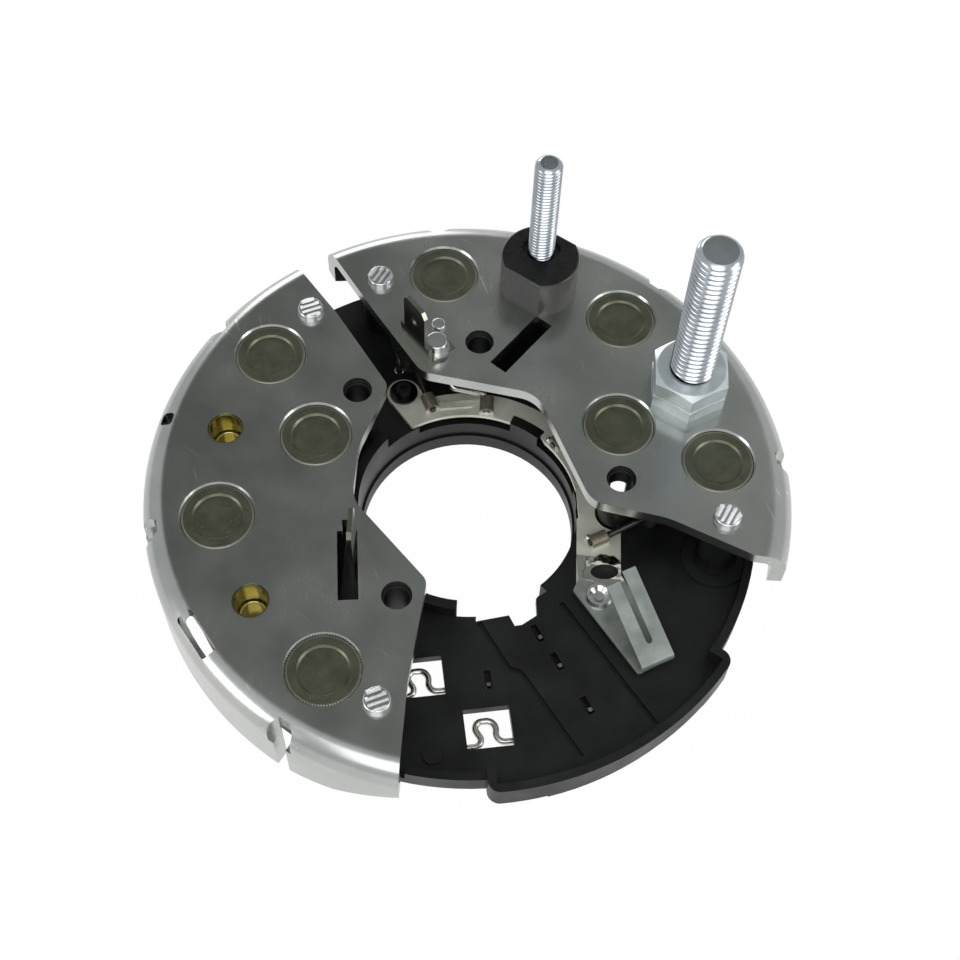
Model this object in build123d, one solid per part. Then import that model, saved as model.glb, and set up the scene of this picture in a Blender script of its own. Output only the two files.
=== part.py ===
"""Alternator rectifier: two folded aluminium heat sinks with press-fit diodes on a round
moulded base, with the battery stud, the warning-lamp stud and the exciter rail.

The frame's origin is the centre of the base's bore, at the foot of its collar. +Z is the
side that the studs point to. Lengths are in millimetres and angles in degrees.
"""

import os
from math import atan2, cos, degrees, radians, sin, tan

from build123d import *

# Levels above the foot of the bore collar
FLOOR_BOTTOM = 6.8
FLOOR_T = 2.0
PLATE_TOP = 22.0
PLATE_T = 2.5
LIP_LOW_TOP = 11.0
LIP_HIGH_TOP = 12.6
COLLAR_WALL_TOP = 12.0
SKIRT_DEPTH = 2.4
FLOOR_TOP = FLOOR_BOTTOM + FLOOR_T
PLATE_BOTTOM = PLATE_TOP - PLATE_T

# Pitch circle of the outer diodes, which sets the size of the base and the heat sinks
PITCH_R = 44.5
PITCH = 46.0
NEGATIVE_START = 148.0
POSITIVE_START = 6.8

# Moulded base in plan
BASE_MARGIN = 8.0
BULGE_OUT = 2.8
BASE_R = PITCH_R + BASE_MARGIN
BULGE_R = BASE_R + BULGE_OUT
BULGE_CORNER_R = 2.2
LIP_T = 1.5
BORE_R = 19.6
COLLAR_T = 2.2
COLLAR_R = BORE_R + COLLAR_T
BORE_GAP_R = 21.6
LIP_SPAN = (-99.0, -8.0)
BULGE_SPAN = (-84.0, -31.0)
SKIRT_SPAN = (-73.0, -40.0)
COLLAR_WALL_SPAN = (141.0, 267.0)
COLLAR_GAP_SPAN = (267.0, 313.0)
COLLAR_STEP = 0.4
COLLAR_STEP_H = 3.3
REBATE_SPAN = (-6.0, 120.0)
REBATE_R = 22.0
REBATE_BOTTOM = 7.0
LUGS = [((52.0, 69.0), 9.7), ((6.0, 15.0), 8.8)]
SEAM = (0.5, 0.35)

# Folded heat sinks
RIM_GAP = 2.6
RIM_R = BASE_R + RIM_GAP + PLATE_T
RIM_BOTTOM = 6.0
RIM_BEND = 4.2
RELIEF_IN = 2.6
RELIEF_R = RIM_R - RELIEF_IN
RELIEF_W = 4.6
RELIEF_SLIT = 2.4
RELIEF_DEPTH = 4.0
RIM_END_RISE = [(0, 0), (9.5, 2.0), (19.5, 7.0), (26.0, 11.0)]
BEND_WINDOW = {"small": (2.6, RIM_R - 3.3, RIM_R - 1.1), "large": (9.0, RIM_R - 4.0, RIM_R - 1.2)}

# Press-fit diodes
DIODE_R = 6.4
DIODE_HOLE_RIM_R = 6.7
DIODE_SUNK = 0.4
DIODE_DISH_R = 4.2
DIODE_DISH = 0.35
DIODE_H = 7.6
DIODE_CUP_R = 5.7
DIODE_KNURL_H = 4.6
DIODE_LEAD_R = 0.65
DIODE_SEAL_R = 2.2
DIODE_SEAL_H = 1.4
PRESS_GAP = 0.02
INNER_NEGATIVE = (28.6, 166.3)
INNER_POSITIVE = (29.0, 24.2)

# Mounting holes with the base's insulating bushes: distance from the bore, and angle
MOUNT_HOLES = {"negative": [(26.8, 142.0), (26.9, -114.5)], "positive": [(28.5, 88.8), (26.9, 1.0)]}
MOUNT_HOLE_R = 2.65
MOUNT_BUSH_R = 3.3
MOUNT_BORE_R = 2.2
BUSH_SUNK = 1.4
SPIGOT_GAP = 0.08
VENT_AT = (26.9, 7.4)
VENT = (5.0, 6.4)
BUSH_WINDOW = (2.9, 9.0, 17.4)

# Brass inserts in the negative heat sink
INSERT_R = 3.1
INSERT_WALL = 0.28
INSERT_SUNK = 0.3
INSERT_STEP_DEPTH = 3.2
INSERT_CUP_DEPTH = 5.2
INSERT_BOSS_R = 4.0

# Staked rivets
STAKE_OUT = 1.3
STAKE_PITCH_R = PITCH_R + STAKE_OUT
STAKES = {"negative": [133.0, 253.5], "positive": [-8.3, 114.2]}
STAKE_R = 2.5
STAKE_H = 1.5
STAKE_SHANK_R = 1.7
STAKE_TAIL_R = 2.4
STAKE_TAIL_H = 0.8
STAKE_POST_R = 3.4
STAKE_SHANK_GAP = 0.05

# Battery stud with its hexagons
M8_AT = (38.9, 20.3)
M8_R = 4.0
M8_TOP = 62.0
M8_HEX = 13.0
M8_COLLAR_H = 3.2
M8_NUT_H = 3.6
M8_HEX_SEAM = 0.15
M8_HEAD_H = 3.4
M8_TIP = 1.0
M8_SHANK_R = 3.6
SEAT_GAP = 0.3

# Warning-lamp stud with its insulator
M5_AT = (11.3, 44.6)
M5_R = 2.5
M5_TOP = 53.7
M5_HEX = 8.0
M5_HEAD_H = 3.0
M5_TIP = 1.2
M5_SHANK_R = 2.2
INSULATOR_AT = (11.15, 42.3)
INSULATOR_R = 7.25
INSULATOR_FLATS = 12.2
INSULATOR_TURN = 58.0
INSULATOR_TOP = 31.0
INSULATOR_DISH_R = 3.65
INSULATOR_DISH = 1.6
INSULATOR_SPIGOT_R = 4.1
INSULATOR_SPIGOT_H = 3.6
THREAD_GAP = 0.05

# Slots in the heat sinks
NEGATIVE_SLOT = (3.5, 13.2, 5.6)
NEGATIVE_SLOT_AT = (-19.9, -19.2)
NEGATIVE_SLOT_STEP = (1.7, 2.2)
POSITIVE_SLOT = (3.6, 13.8, -36.9)
POSITIVE_SLOT_AT = (8.35, 28.5)

# Spade terminal on the positive heat sink
SPADE_T = 0.8
SPADE_W = 6.3
SPADE_BASE_W = 8.7
SPADE_CORNER = (-8.5, 22.3)
SPADE_TURN = 129.2
SPADE_SHOULDER = 26.8
SPADE_TOP = 36.0
SPADE_TAPER = 0.9
SPADE_FOOT = 6.2
SPADE_FOOT_W = 5.4
SPADE_RIVET_AT = (2.1, 3.4)
SPADE_RIVET_R = 2.0
SPADE_RIVET_H = 2.6
SPADE_PIN_AT = (-7.2, 31.7)
SPADE_PIN_R = 1.35
SPADE_PIN_H = 0.9
RIVET_SHANK_R = 1.1

# Phase-tap blade in its moulded tower
TAP_X = -19.3
TAP_Y = (-19.1, -12.8)
TAP_TOP = 32.0
TAP_FOOT = 9.6
TOWER_TOP = 17.0
TOWER_WALL = 1.4
TOWER_TAIL = 4.8

# Exciter rail
RAIL_T = 0.8
RAIL_IN_R = 20.3
RAIL_CHORD = [(10.6, 19.4), (12.0, 18.0), (18.4, 6.9), (16.0, 4.0), (6.0, 12.0)]
RAIL_OUT_R = 25.2
RAIL_SPAN = (14.0, 123.0)
RAIL_PIN = (27.9, 118.8)
RAIL_PIN_R = 1.45
RAIL_PIN_H = 1.9
RAIL_WASHER_R = 2.65
RAIL_WASHER_T = 0.5
RAIL_EYE_R = 3.2
RAIL_PAD = [(20.0, -1.0), (20.0, -15.8), (22.0, -18.6), (25.2, -18.6), (28.0, -13.6), (28.0, -1.0)]
RAIL_RIB = (7.0, 1.5, 0.4)
RAIL_RIB_AT = (22.6, 98.5)
HOOK_R = 1.35
HOOK_W = 3.2
LEAD_GAP = 0.05
RAIL_TOP = FLOOR_TOP + RAIL_T

# Exciter diodes and their leads
EXCITER_R = 2.4
EXCITER_L = 7.2
EXCITER_LEAD_R = 0.6
EXCITER_Z = 11.5
EXCITER_BEND = 1.3

# Spring contact
SPRING_T = 0.5
SPRING_W = 6.3
SPRING_FOLD = (34.3, -29.8)
SPRING_TURN = 117.5
SPRING_RISE = 5.6
SPRING_REACH = 16.0
SPRING_STEP = 1.5
SPRING_SLOT = (1.2, 12.0)
SPRING_SHORT_LEG = 1.4
SPRING_RIVET_AT = (24.0, -17.0)
SPRING_RIVET_R = 2.5
PAD_HOLE = (2.5, 1.5)
PAD_HOLE_AT = (25.0, -12.0)
SPRING_RIVET_H = 1.1

# Phase wires under the floor
WIRE_R = 0.6
WIRE_Z = FLOOR_BOTTOM - WIRE_R - 0.05
WIRE_BEND = 2.0
LEAD_END = WIRE_Z + WIRE_R + LEAD_GAP
LEAD_HOLE_R = 1.0

# Windows over the wires: size, place of the middle and turn
WINDOW = (8.0, 7.2)
WINDOW_TURN = 9.5
WINDOW_OUTER_AT = (5.4, -42.1)
WINDOW_INNER_AT = (-6.7, -33.5)

# Staples that hold the wires: distance from the bore, and angle
STAPLES = [(33.7, -81.5), (27.5, -61.0), (33.8, -60.0), (43.3, -59.2)]
STAPLE_W = 1.7
STAPLE_T = 0.7
STAPLE_STANDS = 0.3
STAPLE_SLOT = (3.4, 1.1, 1.2)
STAPLE_LEG_X = WIRE_R + LEAD_GAP + STAPLE_T / 2

# Details of the base's floor
GROOVE_W = 0.9
GROOVE_DEPTH = 0.6
GROOVES = [[(3.0, -22.6), (8.6, -31.2), (10.6, -31.6), (21.4, -46.6)],
           [(17.4, -18.0), (34.0, -40.0)]]
BOSS_AT = (-3.8, -47.6)
BOSS_R = 1.7
BOSS_H = 0.5
RING_AT = (45.0, -7.6)
RING_R = (3.9, 6.0)
RING_H = 0.7


def place(radius, angle, z=0.0):
    """Point at a distance from the bore's axis and at an angle."""
    return Vector(radius * cos(radians(angle)), radius * sin(radians(angle)), z)


def flat(point):
    """First two coordinates of a point."""
    return (point.X, point.Y)


def disc(at, radius, low, high):
    """Upright cylinder between two levels."""
    return Pos(at[0], at[1], low) * extrude(Circle(radius), amount=high - low)


def outline(corners):
    """Closed plan from corners (x, y, corner radius)."""
    shape = Polygon(*[(x, y) for x, y, _ in corners], align=None)
    for x, y, radius in corners:
        if radius:
            shape = fillet(shape.vertices().sort_by_distance((x, y, 0))[0], radius)
    return shape


def slab(shape, low, high):
    """Plan raised between two levels."""
    return Pos(0, 0, low) * extrude(shape, amount=high - low, dir=(0, 0, 1))


def turned(section):
    """Closed section (radius, level, corner radius) turned round the Z axis."""
    return revolve(Plane.XZ * outline(section), axis=Axis.Z)


def sector(span, inner, outer):
    """Plan of a ring's part between two angles."""
    start, end = span
    middle = (start + end) / 2
    reach = 2.0 * outer
    rays = [(0, 0)]
    rays += [flat(place(reach, angle)) for angle in (start, (start + middle) / 2, middle, (middle + end) / 2, end)]
    ring = Circle(outer) - Circle(inner)
    return ring & Polygon(*rays, align=None)


def tube(points, radius, bend):
    """Round wire along straight runs joined by bends that are no larger than the runs allow."""
    edges = []
    start = points[0]
    for before, at, after in zip(points, points[1:], points[2:]):
        back = (before - at).normalized()
        ahead = (after - at).normalized()
        half = radians((at - before).get_angle(after - at)) / 2
        trim = min(bend * tan(half), 0.45 * (before - at).length, 0.45 * (after - at).length)
        bow = trim / tan(half) * (1 / cos(half) - 1)
        edges.append(Line(start, at + back * trim))
        edges.append(ThreePointArc(at + back * trim, at + (back + ahead).normalized() * bow, at + ahead * trim))
        start = at + ahead * trim
    edges.append(Line(start, points[-1]))
    path = Wire(edges)
    return sweep(Plane(origin=path @ 0, z_dir=path % 0) * Circle(radius), path=path)


def hexagon(across, low, high):
    """Hexagonal prism on the Z axis with a corner towards -Y and turned-down corners."""
    corner_r = across / 2 / cos(radians(30))
    prism = slab(RegularPolygon(corner_r, 6, rotation=90), low, high)
    turned_down = turned([(0, low, 0), (corner_r, low, 0), (corner_r, high - 0.6, 0),
                          (across / 2 - 0.3, high, 0), (0, high, 0)])
    return prism & turned_down


# Places that several pieces share
negative_ring = [place(PITCH_R, NEGATIVE_START + PITCH * step) for step in range(3)]
positive_ring = [place(PITCH_R, POSITIVE_START + PITCH * step) for step in range(3)]
negative_diodes = negative_ring + [place(*INNER_NEGATIVE)]
positive_diodes = positive_ring + [place(*INNER_POSITIVE)]
inserts = [place(PITCH_R, NEGATIVE_START + PITCH * (step + 0.5)) for step in range(2)]
mounts = {side: [place(*hole) for hole in holes] for side, holes in MOUNT_HOLES.items()}
stakes = {side: [place(STAKE_PITCH_R, angle) for angle in angles] for side, angles in STAKES.items()}
all_mounts = mounts["negative"] + mounts["positive"]
all_stakes = stakes["negative"] + stakes["positive"]

wire_a, wire_d, wire_c, wire_e = negative_ring[0], negative_ring[2], negative_ring[1], negative_diodes[3]
wire_h, wire_f, wire_b, wire_g = positive_ring[0], positive_ring[1], positive_ring[2], positive_diodes[3]


def spade_point(along, off):
    """Plan point measured from the spade's near corner, along the blade and away from it."""
    turn = radians(SPADE_TURN)
    x = SPADE_CORNER[0] + along * cos(turn) + off * sin(turn)
    y = SPADE_CORNER[1] + along * sin(turn) - off * cos(turn)
    return (x, y)


spade_rivet = spade_point(*SPADE_RIVET_AT)


def window_point(at, u, v):
    """Plan point in a window's own turned axes."""
    turn = radians(WINDOW_TURN)
    return (at[0] + u * cos(turn) - v * sin(turn), at[1] + u * sin(turn) + v * cos(turn))


def omega(at):
    """Corners of the expansion loop that a wire makes inside a window, from left to right."""
    half = WINDOW[0] / 2
    shape = [(-half - 1.0, -2.3), (-0.6, -2.3), (-2.9, 2.2), (1.7, 2.2), (1.1, -1.9), (half + 1.0, -1.9)]
    return [window_point(at, u, v) for u, v in shape]


outer_loop = omega(WINDOW_OUTER_AT)
inner_loop = omega(WINDOW_INNER_AT)

# Plan routes of the four phase wires, each from a negative diode to a positive one
WIRE_ROUTES = {
    "phase_wire_outer_near": [flat(wire_d), flat(place(40.0, 250.0)), flat(place(41.0, 263.0)), *outer_loop,
                              flat(place(43.3, -59.2)), flat(place(42.0, -35.0)), flat(place(40.6, -12.0)),
                              flat(wire_h)],
    "phase_wire_inner_near": [flat(wire_c), flat(place(37.0, 205.0)), flat(place(34.5, 228.0)), *inner_loop,
                              flat(place(33.7, -81.5)), flat(place(33.8, -60.0)), flat(place(36.0, -38.0)),
                              flat(place(37.6, -14.0)), flat(place(37.6, 12.0)), flat(wire_g)],
    "phase_wire_outer_far": [flat(wire_a), flat(place(40.6, 136.0)), flat(place(41.0, 111.0)), flat(wire_b)],
    "phase_wire_inner_far": [flat(wire_e), flat(place(34.0, 150.0)), flat(place(34.4, 122.0)),
                             flat(place(34.4, 97.0)), flat(place(35.0, 72.0)), flat(place(37.5, 46.0)),
                             flat(wire_f)],
}


def between(route, index, share):
    """Plan point on one straight run of a wire's route."""
    (x0, y0), (x1, y1) = WIRE_ROUTES[route][index], WIRE_ROUTES[route][index + 1]
    return (x0 + (x1 - x0) * share, y0 + (y1 - y0) * share)


# Exciter diodes: hook on the rail, near and far end of the body, foot on a phase wire
EXCITERS = [
    {"hook": (23.7, 110.6), "body": ((-11.6, 29.6), 115.0), "foot": between("phase_wire_inner_far", 2, 0.25)},
    {"hook": (22.4, 43.0), "body": ((20.3, 19.4), 46.0), "foot": between("phase_wire_inner_far", 4, 0.85)},
    {"hook": (24.5, -13.2), "body": ((31.9, -1.3), 35.0), "foot": between("phase_wire_outer_near", -2, 0.85)},
]
LAMP_HOOK = (22.3, 83.5)
LAMP_HOOK_TURN = 90.0


def fastener_points():
    """Every place where something passes through the floor, with the hole's radius."""
    holes = [(flat(at), MOUNT_BORE_R) for at in all_mounts]
    holes += [(flat(at), STAKE_SHANK_R + STAKE_SHANK_GAP) for at in all_stakes]
    holes += [(flat(at), LEAD_HOLE_R) for at in negative_diodes + positive_diodes]
    holes += [(exciter["foot"], LEAD_HOLE_R) for exciter in EXCITERS]
    holes += [(SPRING_RIVET_AT, RIVET_SHANK_R + STAKE_SHANK_GAP)]
    return holes


def terminal_base():
    """Moulded base: floor, collar, lip, bulge, skirt, posts, bushes, tower and cut-outs."""
    bulge = sector(BULGE_SPAN, BASE_R - LIP_T, BULGE_R)
    bulge = fillet(bulge.vertices().sort_by_distance((0, 0, 0))[-2:], BULGE_CORNER_R)
    well = sector((BULGE_SPAN[0] + 1.7, BULGE_SPAN[1] - 1.7), BASE_R - 2 * LIP_T, BULGE_R - LIP_T)
    low_lip = sector(LIP_SPAN, BASE_R - LIP_T, BASE_R) - well
    base = slab(Circle(BASE_R) + bulge, FLOOR_BOTTOM, FLOOR_TOP)
    base += slab(low_lip, FLOOR_TOP, LIP_LOW_TOP)
    base += slab(bulge - well, FLOOR_TOP, LIP_HIGH_TOP)
    base += slab(sector(SKIRT_SPAN, BULGE_R - 2.6, BULGE_R - 0.6), FLOOR_BOTTOM - SKIRT_DEPTH, FLOOR_BOTTOM)
    base += slab(Circle(COLLAR_R), 0, FLOOR_TOP)
    base += slab(sector(COLLAR_WALL_SPAN, BORE_R - 1, COLLAR_R), FLOOR_TOP, COLLAR_WALL_TOP)
    base -= disc((0, 0), BORE_R, -1, COLLAR_WALL_TOP + 1)
    base -= slab(sector(REBATE_SPAN, BORE_R - 1, REBATE_R), REBATE_BOTTOM, FLOOR_TOP + 1)
    for span, top in LUGS:
        base += slab(sector(span, BORE_R, REBATE_R), REBATE_BOTTOM, top)
    base -= slab(Circle(BORE_R + COLLAR_STEP), COLLAR_STEP_H, COLLAR_WALL_TOP + 1)
    base -= slab(sector(SKIRT_SPAN, BULGE_R - SEAM[0], BULGE_R + 1), FLOOR_BOTTOM, FLOOR_BOTTOM + SEAM[1])
    base -= slab(sector(COLLAR_GAP_SPAN, BORE_R - 1, COLLAR_R), -1, FLOOR_BOTTOM)
    base -= slab(sector(COLLAR_GAP_SPAN, BORE_R - 1, BORE_GAP_R), 0, FLOOR_TOP + 1)
    base -= slab(Polygon((2.4, -20), (2.4, -22.4), (8.2, -20.9), (9.3, -22.9), (10.6, -22.6), (13.2, -20.6),
                         (12.9, -17), align=None), 0, FLOOR_TOP + 1)
    for at in all_mounts:
        base += disc(flat(at), MOUNT_BUSH_R, FLOOR_BOTTOM, PLATE_BOTTOM)
        base += disc(flat(at), MOUNT_HOLE_R - SPIGOT_GAP, FLOOR_BOTTOM, PLATE_TOP - BUSH_SUNK)
    for at in all_stakes:
        base += disc(flat(at), STAKE_POST_R, FLOOR_TOP, PLATE_BOTTOM)
    for at in inserts:
        base += disc(flat(at), INSERT_BOSS_R, FLOOR_TOP, PLATE_BOTTOM - 1.0)
        base -= disc(flat(at), INSERT_R + SPIGOT_GAP, FLOOR_TOP, PLATE_BOTTOM)
    for at, radius in fastener_points():
        high = PLATE_TOP if radius in (MOUNT_BORE_R, STAKE_SHANK_R + STAKE_SHANK_GAP) else FLOOR_TOP
        base -= disc(at, radius, FLOOR_BOTTOM - 1, high + 1)
    width, low, high = BUSH_WINDOW
    bush = mounts["positive"][1]
    base -= Pos(bush.X, bush.Y + MOUNT_BUSH_R, (low + high) / 2) * Box(width, 2 * MOUNT_BUSH_R, high - low)
    base -= Pos(*VENT_AT, FLOOR_TOP) * Box(*VENT, 2 * FLOOR_TOP)
    base += tower()
    pin_at = flat(place(*RAIL_PIN))
    base += disc(pin_at, RAIL_PIN_R, FLOOR_TOP, RAIL_TOP + RAIL_PIN_H)
    base -= disc(pin_at, RAIL_PIN_R / 2, RAIL_TOP + RAIL_PIN_H / 2, RAIL_TOP + RAIL_PIN_H)
    for at in (WINDOW_OUTER_AT, WINDOW_INNER_AT):
        base -= Pos(at[0], at[1], 0) * Rot(0, 0, WINDOW_TURN) * Box(*WINDOW, 3 * FLOOR_TOP)
    for radius, angle in STAPLES:
        turn = Pos(*place(radius, angle, FLOOR_TOP)) * Rot(0, 0, angle)
        base -= turn * Box(STAPLE_SLOT[0], STAPLE_SLOT[1], 2 * STAPLE_SLOT[2])
        base -= turn * Pos(STAPLE_LEG_X, 0) * Box(STAPLE_T + 2 * LEAD_GAP, STAPLE_T + 2 * LEAD_GAP, 3 * FLOOR_T)
    for corners in GROOVES:
        base -= slab(trace(Polyline(*corners), GROOVE_W), FLOOR_TOP - GROOVE_DEPTH, FLOOR_TOP + 1)
    base += disc(BOSS_AT, BOSS_R, FLOOR_TOP, FLOOR_TOP + BOSS_H)
    base += Pos(*RING_AT, FLOOR_TOP) * extrude(Circle(RING_R[1]) - Circle(RING_R[0]), amount=RING_H)
    return base


def tower():
    """Moulded tower that holds the phase-tap blade."""
    low_y = TAP_Y[0] - TOWER_TAIL
    high_y = TAP_Y[1] + TOWER_WALL
    block = Pos(TAP_X, (low_y + high_y) / 2, (FLOOR_TOP + TOWER_TOP) / 2)
    block *= Box(SPADE_T + 2 * TOWER_WALL, high_y - low_y, TOWER_TOP - FLOOR_TOP)
    pocket = Pos(TAP_X, sum(TAP_Y) / 2, TAP_FOOT) * Box(
        SPADE_T + 2 * LEAD_GAP, TAP_Y[1] - TAP_Y[0] + 2 * LEAD_GAP, 2 * TOWER_TOP,
        align=(Align.CENTER, Align.CENTER, Align.MIN))
    return block - pocket


def folded_dish():
    """Round sheet with its rim folded down, before a heat sink is cut from it."""
    return turned([(0, PLATE_TOP, 0), (RIM_R, PLATE_TOP, RIM_BEND), (RIM_R, RIM_BOTTOM, 0),
                   (RIM_R - PLATE_T, RIM_BOTTOM, 0),
                   (RIM_R - PLATE_T, PLATE_BOTTOM, RIM_BEND - PLATE_T), (0, PLATE_BOTTOM, 0)])


def end_rise(angle, way):
    """What the folded rim loses below as it rises from an outer relief to the heat sink's end."""
    edge = [(along, RIM_BOTTOM + rise) for along, rise in RIM_END_RISE]
    reach = edge[-1][0]
    side = Plane(origin=place(RIM_R - 2, angle), x_dir=place(way, angle + 90), z_dir=place(way, angle))
    return extrude(side * Polygon(*edge, (reach, 0), (0, 0), align=None), amount=8, both=True)


def relief(angle):
    """Relief in the bend: a round-ended notch above and a narrow slit down to the edge."""
    notch = SlotOverall(3 * RELIEF_W, RELIEF_W)
    slit = Rectangle(3 * RELIEF_W, RELIEF_SLIT)
    out = Pos(RELIEF_R + 1.5 * RELIEF_W, 0, 0)
    cut = slab(out * notch, PLATE_BOTTOM - RELIEF_DEPTH, PLATE_TOP + 1)
    cut += slab(out * slit, 0, PLATE_TOP)
    return Rot(0, 0, angle) * cut


def bend_window(angle, size):
    """Oblong window in the bend, half-way between two reliefs."""
    width, inner, outer = BEND_WINDOW[size]
    window = fillet(Rectangle(outer - inner, width).vertices(), 0.7)
    cut = slab(Pos((inner + outer) / 2, 0, 0) * window, PLATE_BOTTOM - 3, PLATE_TOP + 1)
    return Rot(0, 0, angle) * cut


def heat_sink(corners, start, diodes, windows, side):
    """Heat sink cut from the folded dish, with its diode, mounting and rivet holes."""
    sheet = folded_dish() & slab(outline(corners), 0, PLATE_TOP + 1)
    sheet -= end_rise(start, -1)
    sheet -= end_rise(start + 2 * PITCH, 1)
    for step in range(3):
        sheet -= relief(start + PITCH * step)
    for step, size in windows:
        sheet -= bend_window(start + PITCH * step, size)
    for at in diodes:
        sheet -= disc(flat(at), DIODE_R + PRESS_GAP, PLATE_BOTTOM - 1, PLATE_TOP + 1)
        bevel = turned([(0, PLATE_TOP - DIODE_SUNK, 0), (DIODE_R, PLATE_TOP - DIODE_SUNK, 0),
                        (DIODE_HOLE_RIM_R, PLATE_TOP, 0), (0, PLATE_TOP, 0)])
        sheet -= Pos(at.X, at.Y, 0) * bevel
    for at in mounts[side]:
        sheet -= disc(flat(at), MOUNT_HOLE_R, PLATE_BOTTOM - 1, PLATE_TOP + 1)
    for at in stakes[side]:
        sheet -= disc(flat(at), STAKE_SHANK_R + STAKE_SHANK_GAP, PLATE_BOTTOM - 1, PLATE_TOP + 1)
    return sheet


def negative_plate():
    """Heat sink of the negative diodes, with the slot for the phase-tap blade."""
    corners = [(-44.8, 56.5, 0), (-26.3, 33.4, 8), (-15.6, 17.8, 2.5), (-20.0, 4.5, 12), (-20.2, -6.2, 6),
               (-6.2, -21.4, 2.5), (-8.3, -40.0, 20), (-8.9, -64.0, 0), (-80, -64.0, 0), (-80, 56.5, 0)]
    sheet = heat_sink(corners, NEGATIVE_START, negative_diodes, [(0.5, "small"), (1.5, "large")], "negative")
    for at in inserts:
        sheet -= disc(flat(at), INSERT_R + SPIGOT_GAP, PLATE_BOTTOM - 1, PLATE_TOP + 1)
    width, length, turn = NEGATIVE_SLOT
    step_w, step_l = NEGATIVE_SLOT_STEP
    slot = Rectangle(width, length) + Pos((width - step_w) / 2 - 0.9, length / 2) * Rectangle(step_w, 2 * step_l)
    sheet -= Pos(*NEGATIVE_SLOT_AT, PLATE_BOTTOM - 1) * Rot(0, 0, turn) * extrude(slot, amount=PLATE_T + 2)
    return sheet


def positive_plate():
    """Heat sink of the positive diodes, with the holes for both studs."""
    corners = [(-39.8, 64.0, 0), (-19.6, 34.6, 8), (-9.8, 21.2, 4), (11.6, 17.6, 6), (21.6, -4.4, 4.5),
               (35.0, -7.0, 14), (50.0, -13.6, 6), (80, -15.5, 0), (80, 64.0, 0)]
    sheet = heat_sink(corners, POSITIVE_START, positive_diodes, [(1.5, "small")], "positive")
    width, length, turn = POSITIVE_SLOT
    sheet -= Pos(*POSITIVE_SLOT_AT, PLATE_BOTTOM - 1) * Rot(0, 0, turn) * extrude(
        Rectangle(width, length), amount=PLATE_T + 2)
    sheet -= disc(M8_AT, M8_R + THREAD_GAP, PLATE_BOTTOM - 1, PLATE_TOP + 1)
    sheet -= disc(M5_AT, INSULATOR_SPIGOT_R + SPIGOT_GAP, PLATE_BOTTOM - 1, PLATE_TOP + 1)
    for at in (spade_rivet, SPADE_PIN_AT):
        sheet -= disc(at, RIVET_SHANK_R + STAKE_SHANK_GAP, PLATE_BOTTOM - 1, PLATE_TOP + 1)
    return sheet


def press_fit_diode():
    """Press-fit diode on the Z axis: dished top, knurled band, cup, glass seal and lead."""
    top = PLATE_TOP - DIODE_SUNK
    foot = top - DIODE_H
    return turned([(0, top - DIODE_DISH, 0), (DIODE_DISH_R, top - DIODE_DISH, 0),
                   (DIODE_DISH_R + DIODE_DISH, top, 0), (DIODE_R, top, 0.3),
                   (DIODE_R, top - DIODE_KNURL_H, 0), (DIODE_CUP_R, top - DIODE_KNURL_H - 0.5, 0),
                   (DIODE_CUP_R, foot, 0.6), (DIODE_SEAL_R, foot, 0),
                   (DIODE_LEAD_R, foot - DIODE_SEAL_H, 0), (DIODE_LEAD_R, LEAD_END, 0), (0, LEAD_END, 0)])


def brass_insert():
    """Stepped blind cup of brass on the Z axis."""
    top = PLATE_TOP - INSERT_SUNK
    step = PLATE_TOP - INSERT_STEP_DEPTH
    cup = PLATE_TOP - INSERT_CUP_DEPTH
    inner = INSERT_R - INSERT_WALL
    return turned([(0, FLOOR_TOP, 0), (INSERT_R, FLOOR_TOP, 0), (INSERT_R, top, 0), (inner, top, 0),
                   (inner, step, 0), (inner - INSERT_WALL, step, 0), (inner - INSERT_WALL, cup, 0.5),
                   (0, cup, 0)])


def staked_rivet():
    """Rivet on the Z axis with a staked head above the heat sink and a tail under the floor."""
    return turned([(0, PLATE_TOP + STAKE_H, 0), (STAKE_R - 0.2, PLATE_TOP + STAKE_H, 0.3),
                   (STAKE_R, PLATE_TOP, 0), (STAKE_SHANK_R, PLATE_TOP, 0),
                   (STAKE_SHANK_R, FLOOR_BOTTOM, 0), (STAKE_TAIL_R, FLOOR_BOTTOM, 0),
                   (STAKE_TAIL_R - 0.3, FLOOR_BOTTOM - STAKE_TAIL_H, 0), (0, FLOOR_BOTTOM - STAKE_TAIL_H, 0)])


def stud(radius, shank_r, top, tip, across, head_h, head_top, seat):
    """Stud on the Z axis: hexagon head, plain shank up to a seat, and thread above it."""
    shank = turned([(0, head_top, 0), (shank_r, head_top, 0), (shank_r, seat, 0),
                    (radius, seat, 0), (radius, top - tip, 0), (radius - tip / 2, top, 0), (0, top, 0)])
    return shank + hexagon(across, head_top - head_h, head_top)


def hex_ring(bore, across, low, high):
    """Hexagon nut between two levels on the Z axis."""
    return hexagon(across, low, high) - disc((0, 0), bore, low - 1, high + 1)


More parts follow.
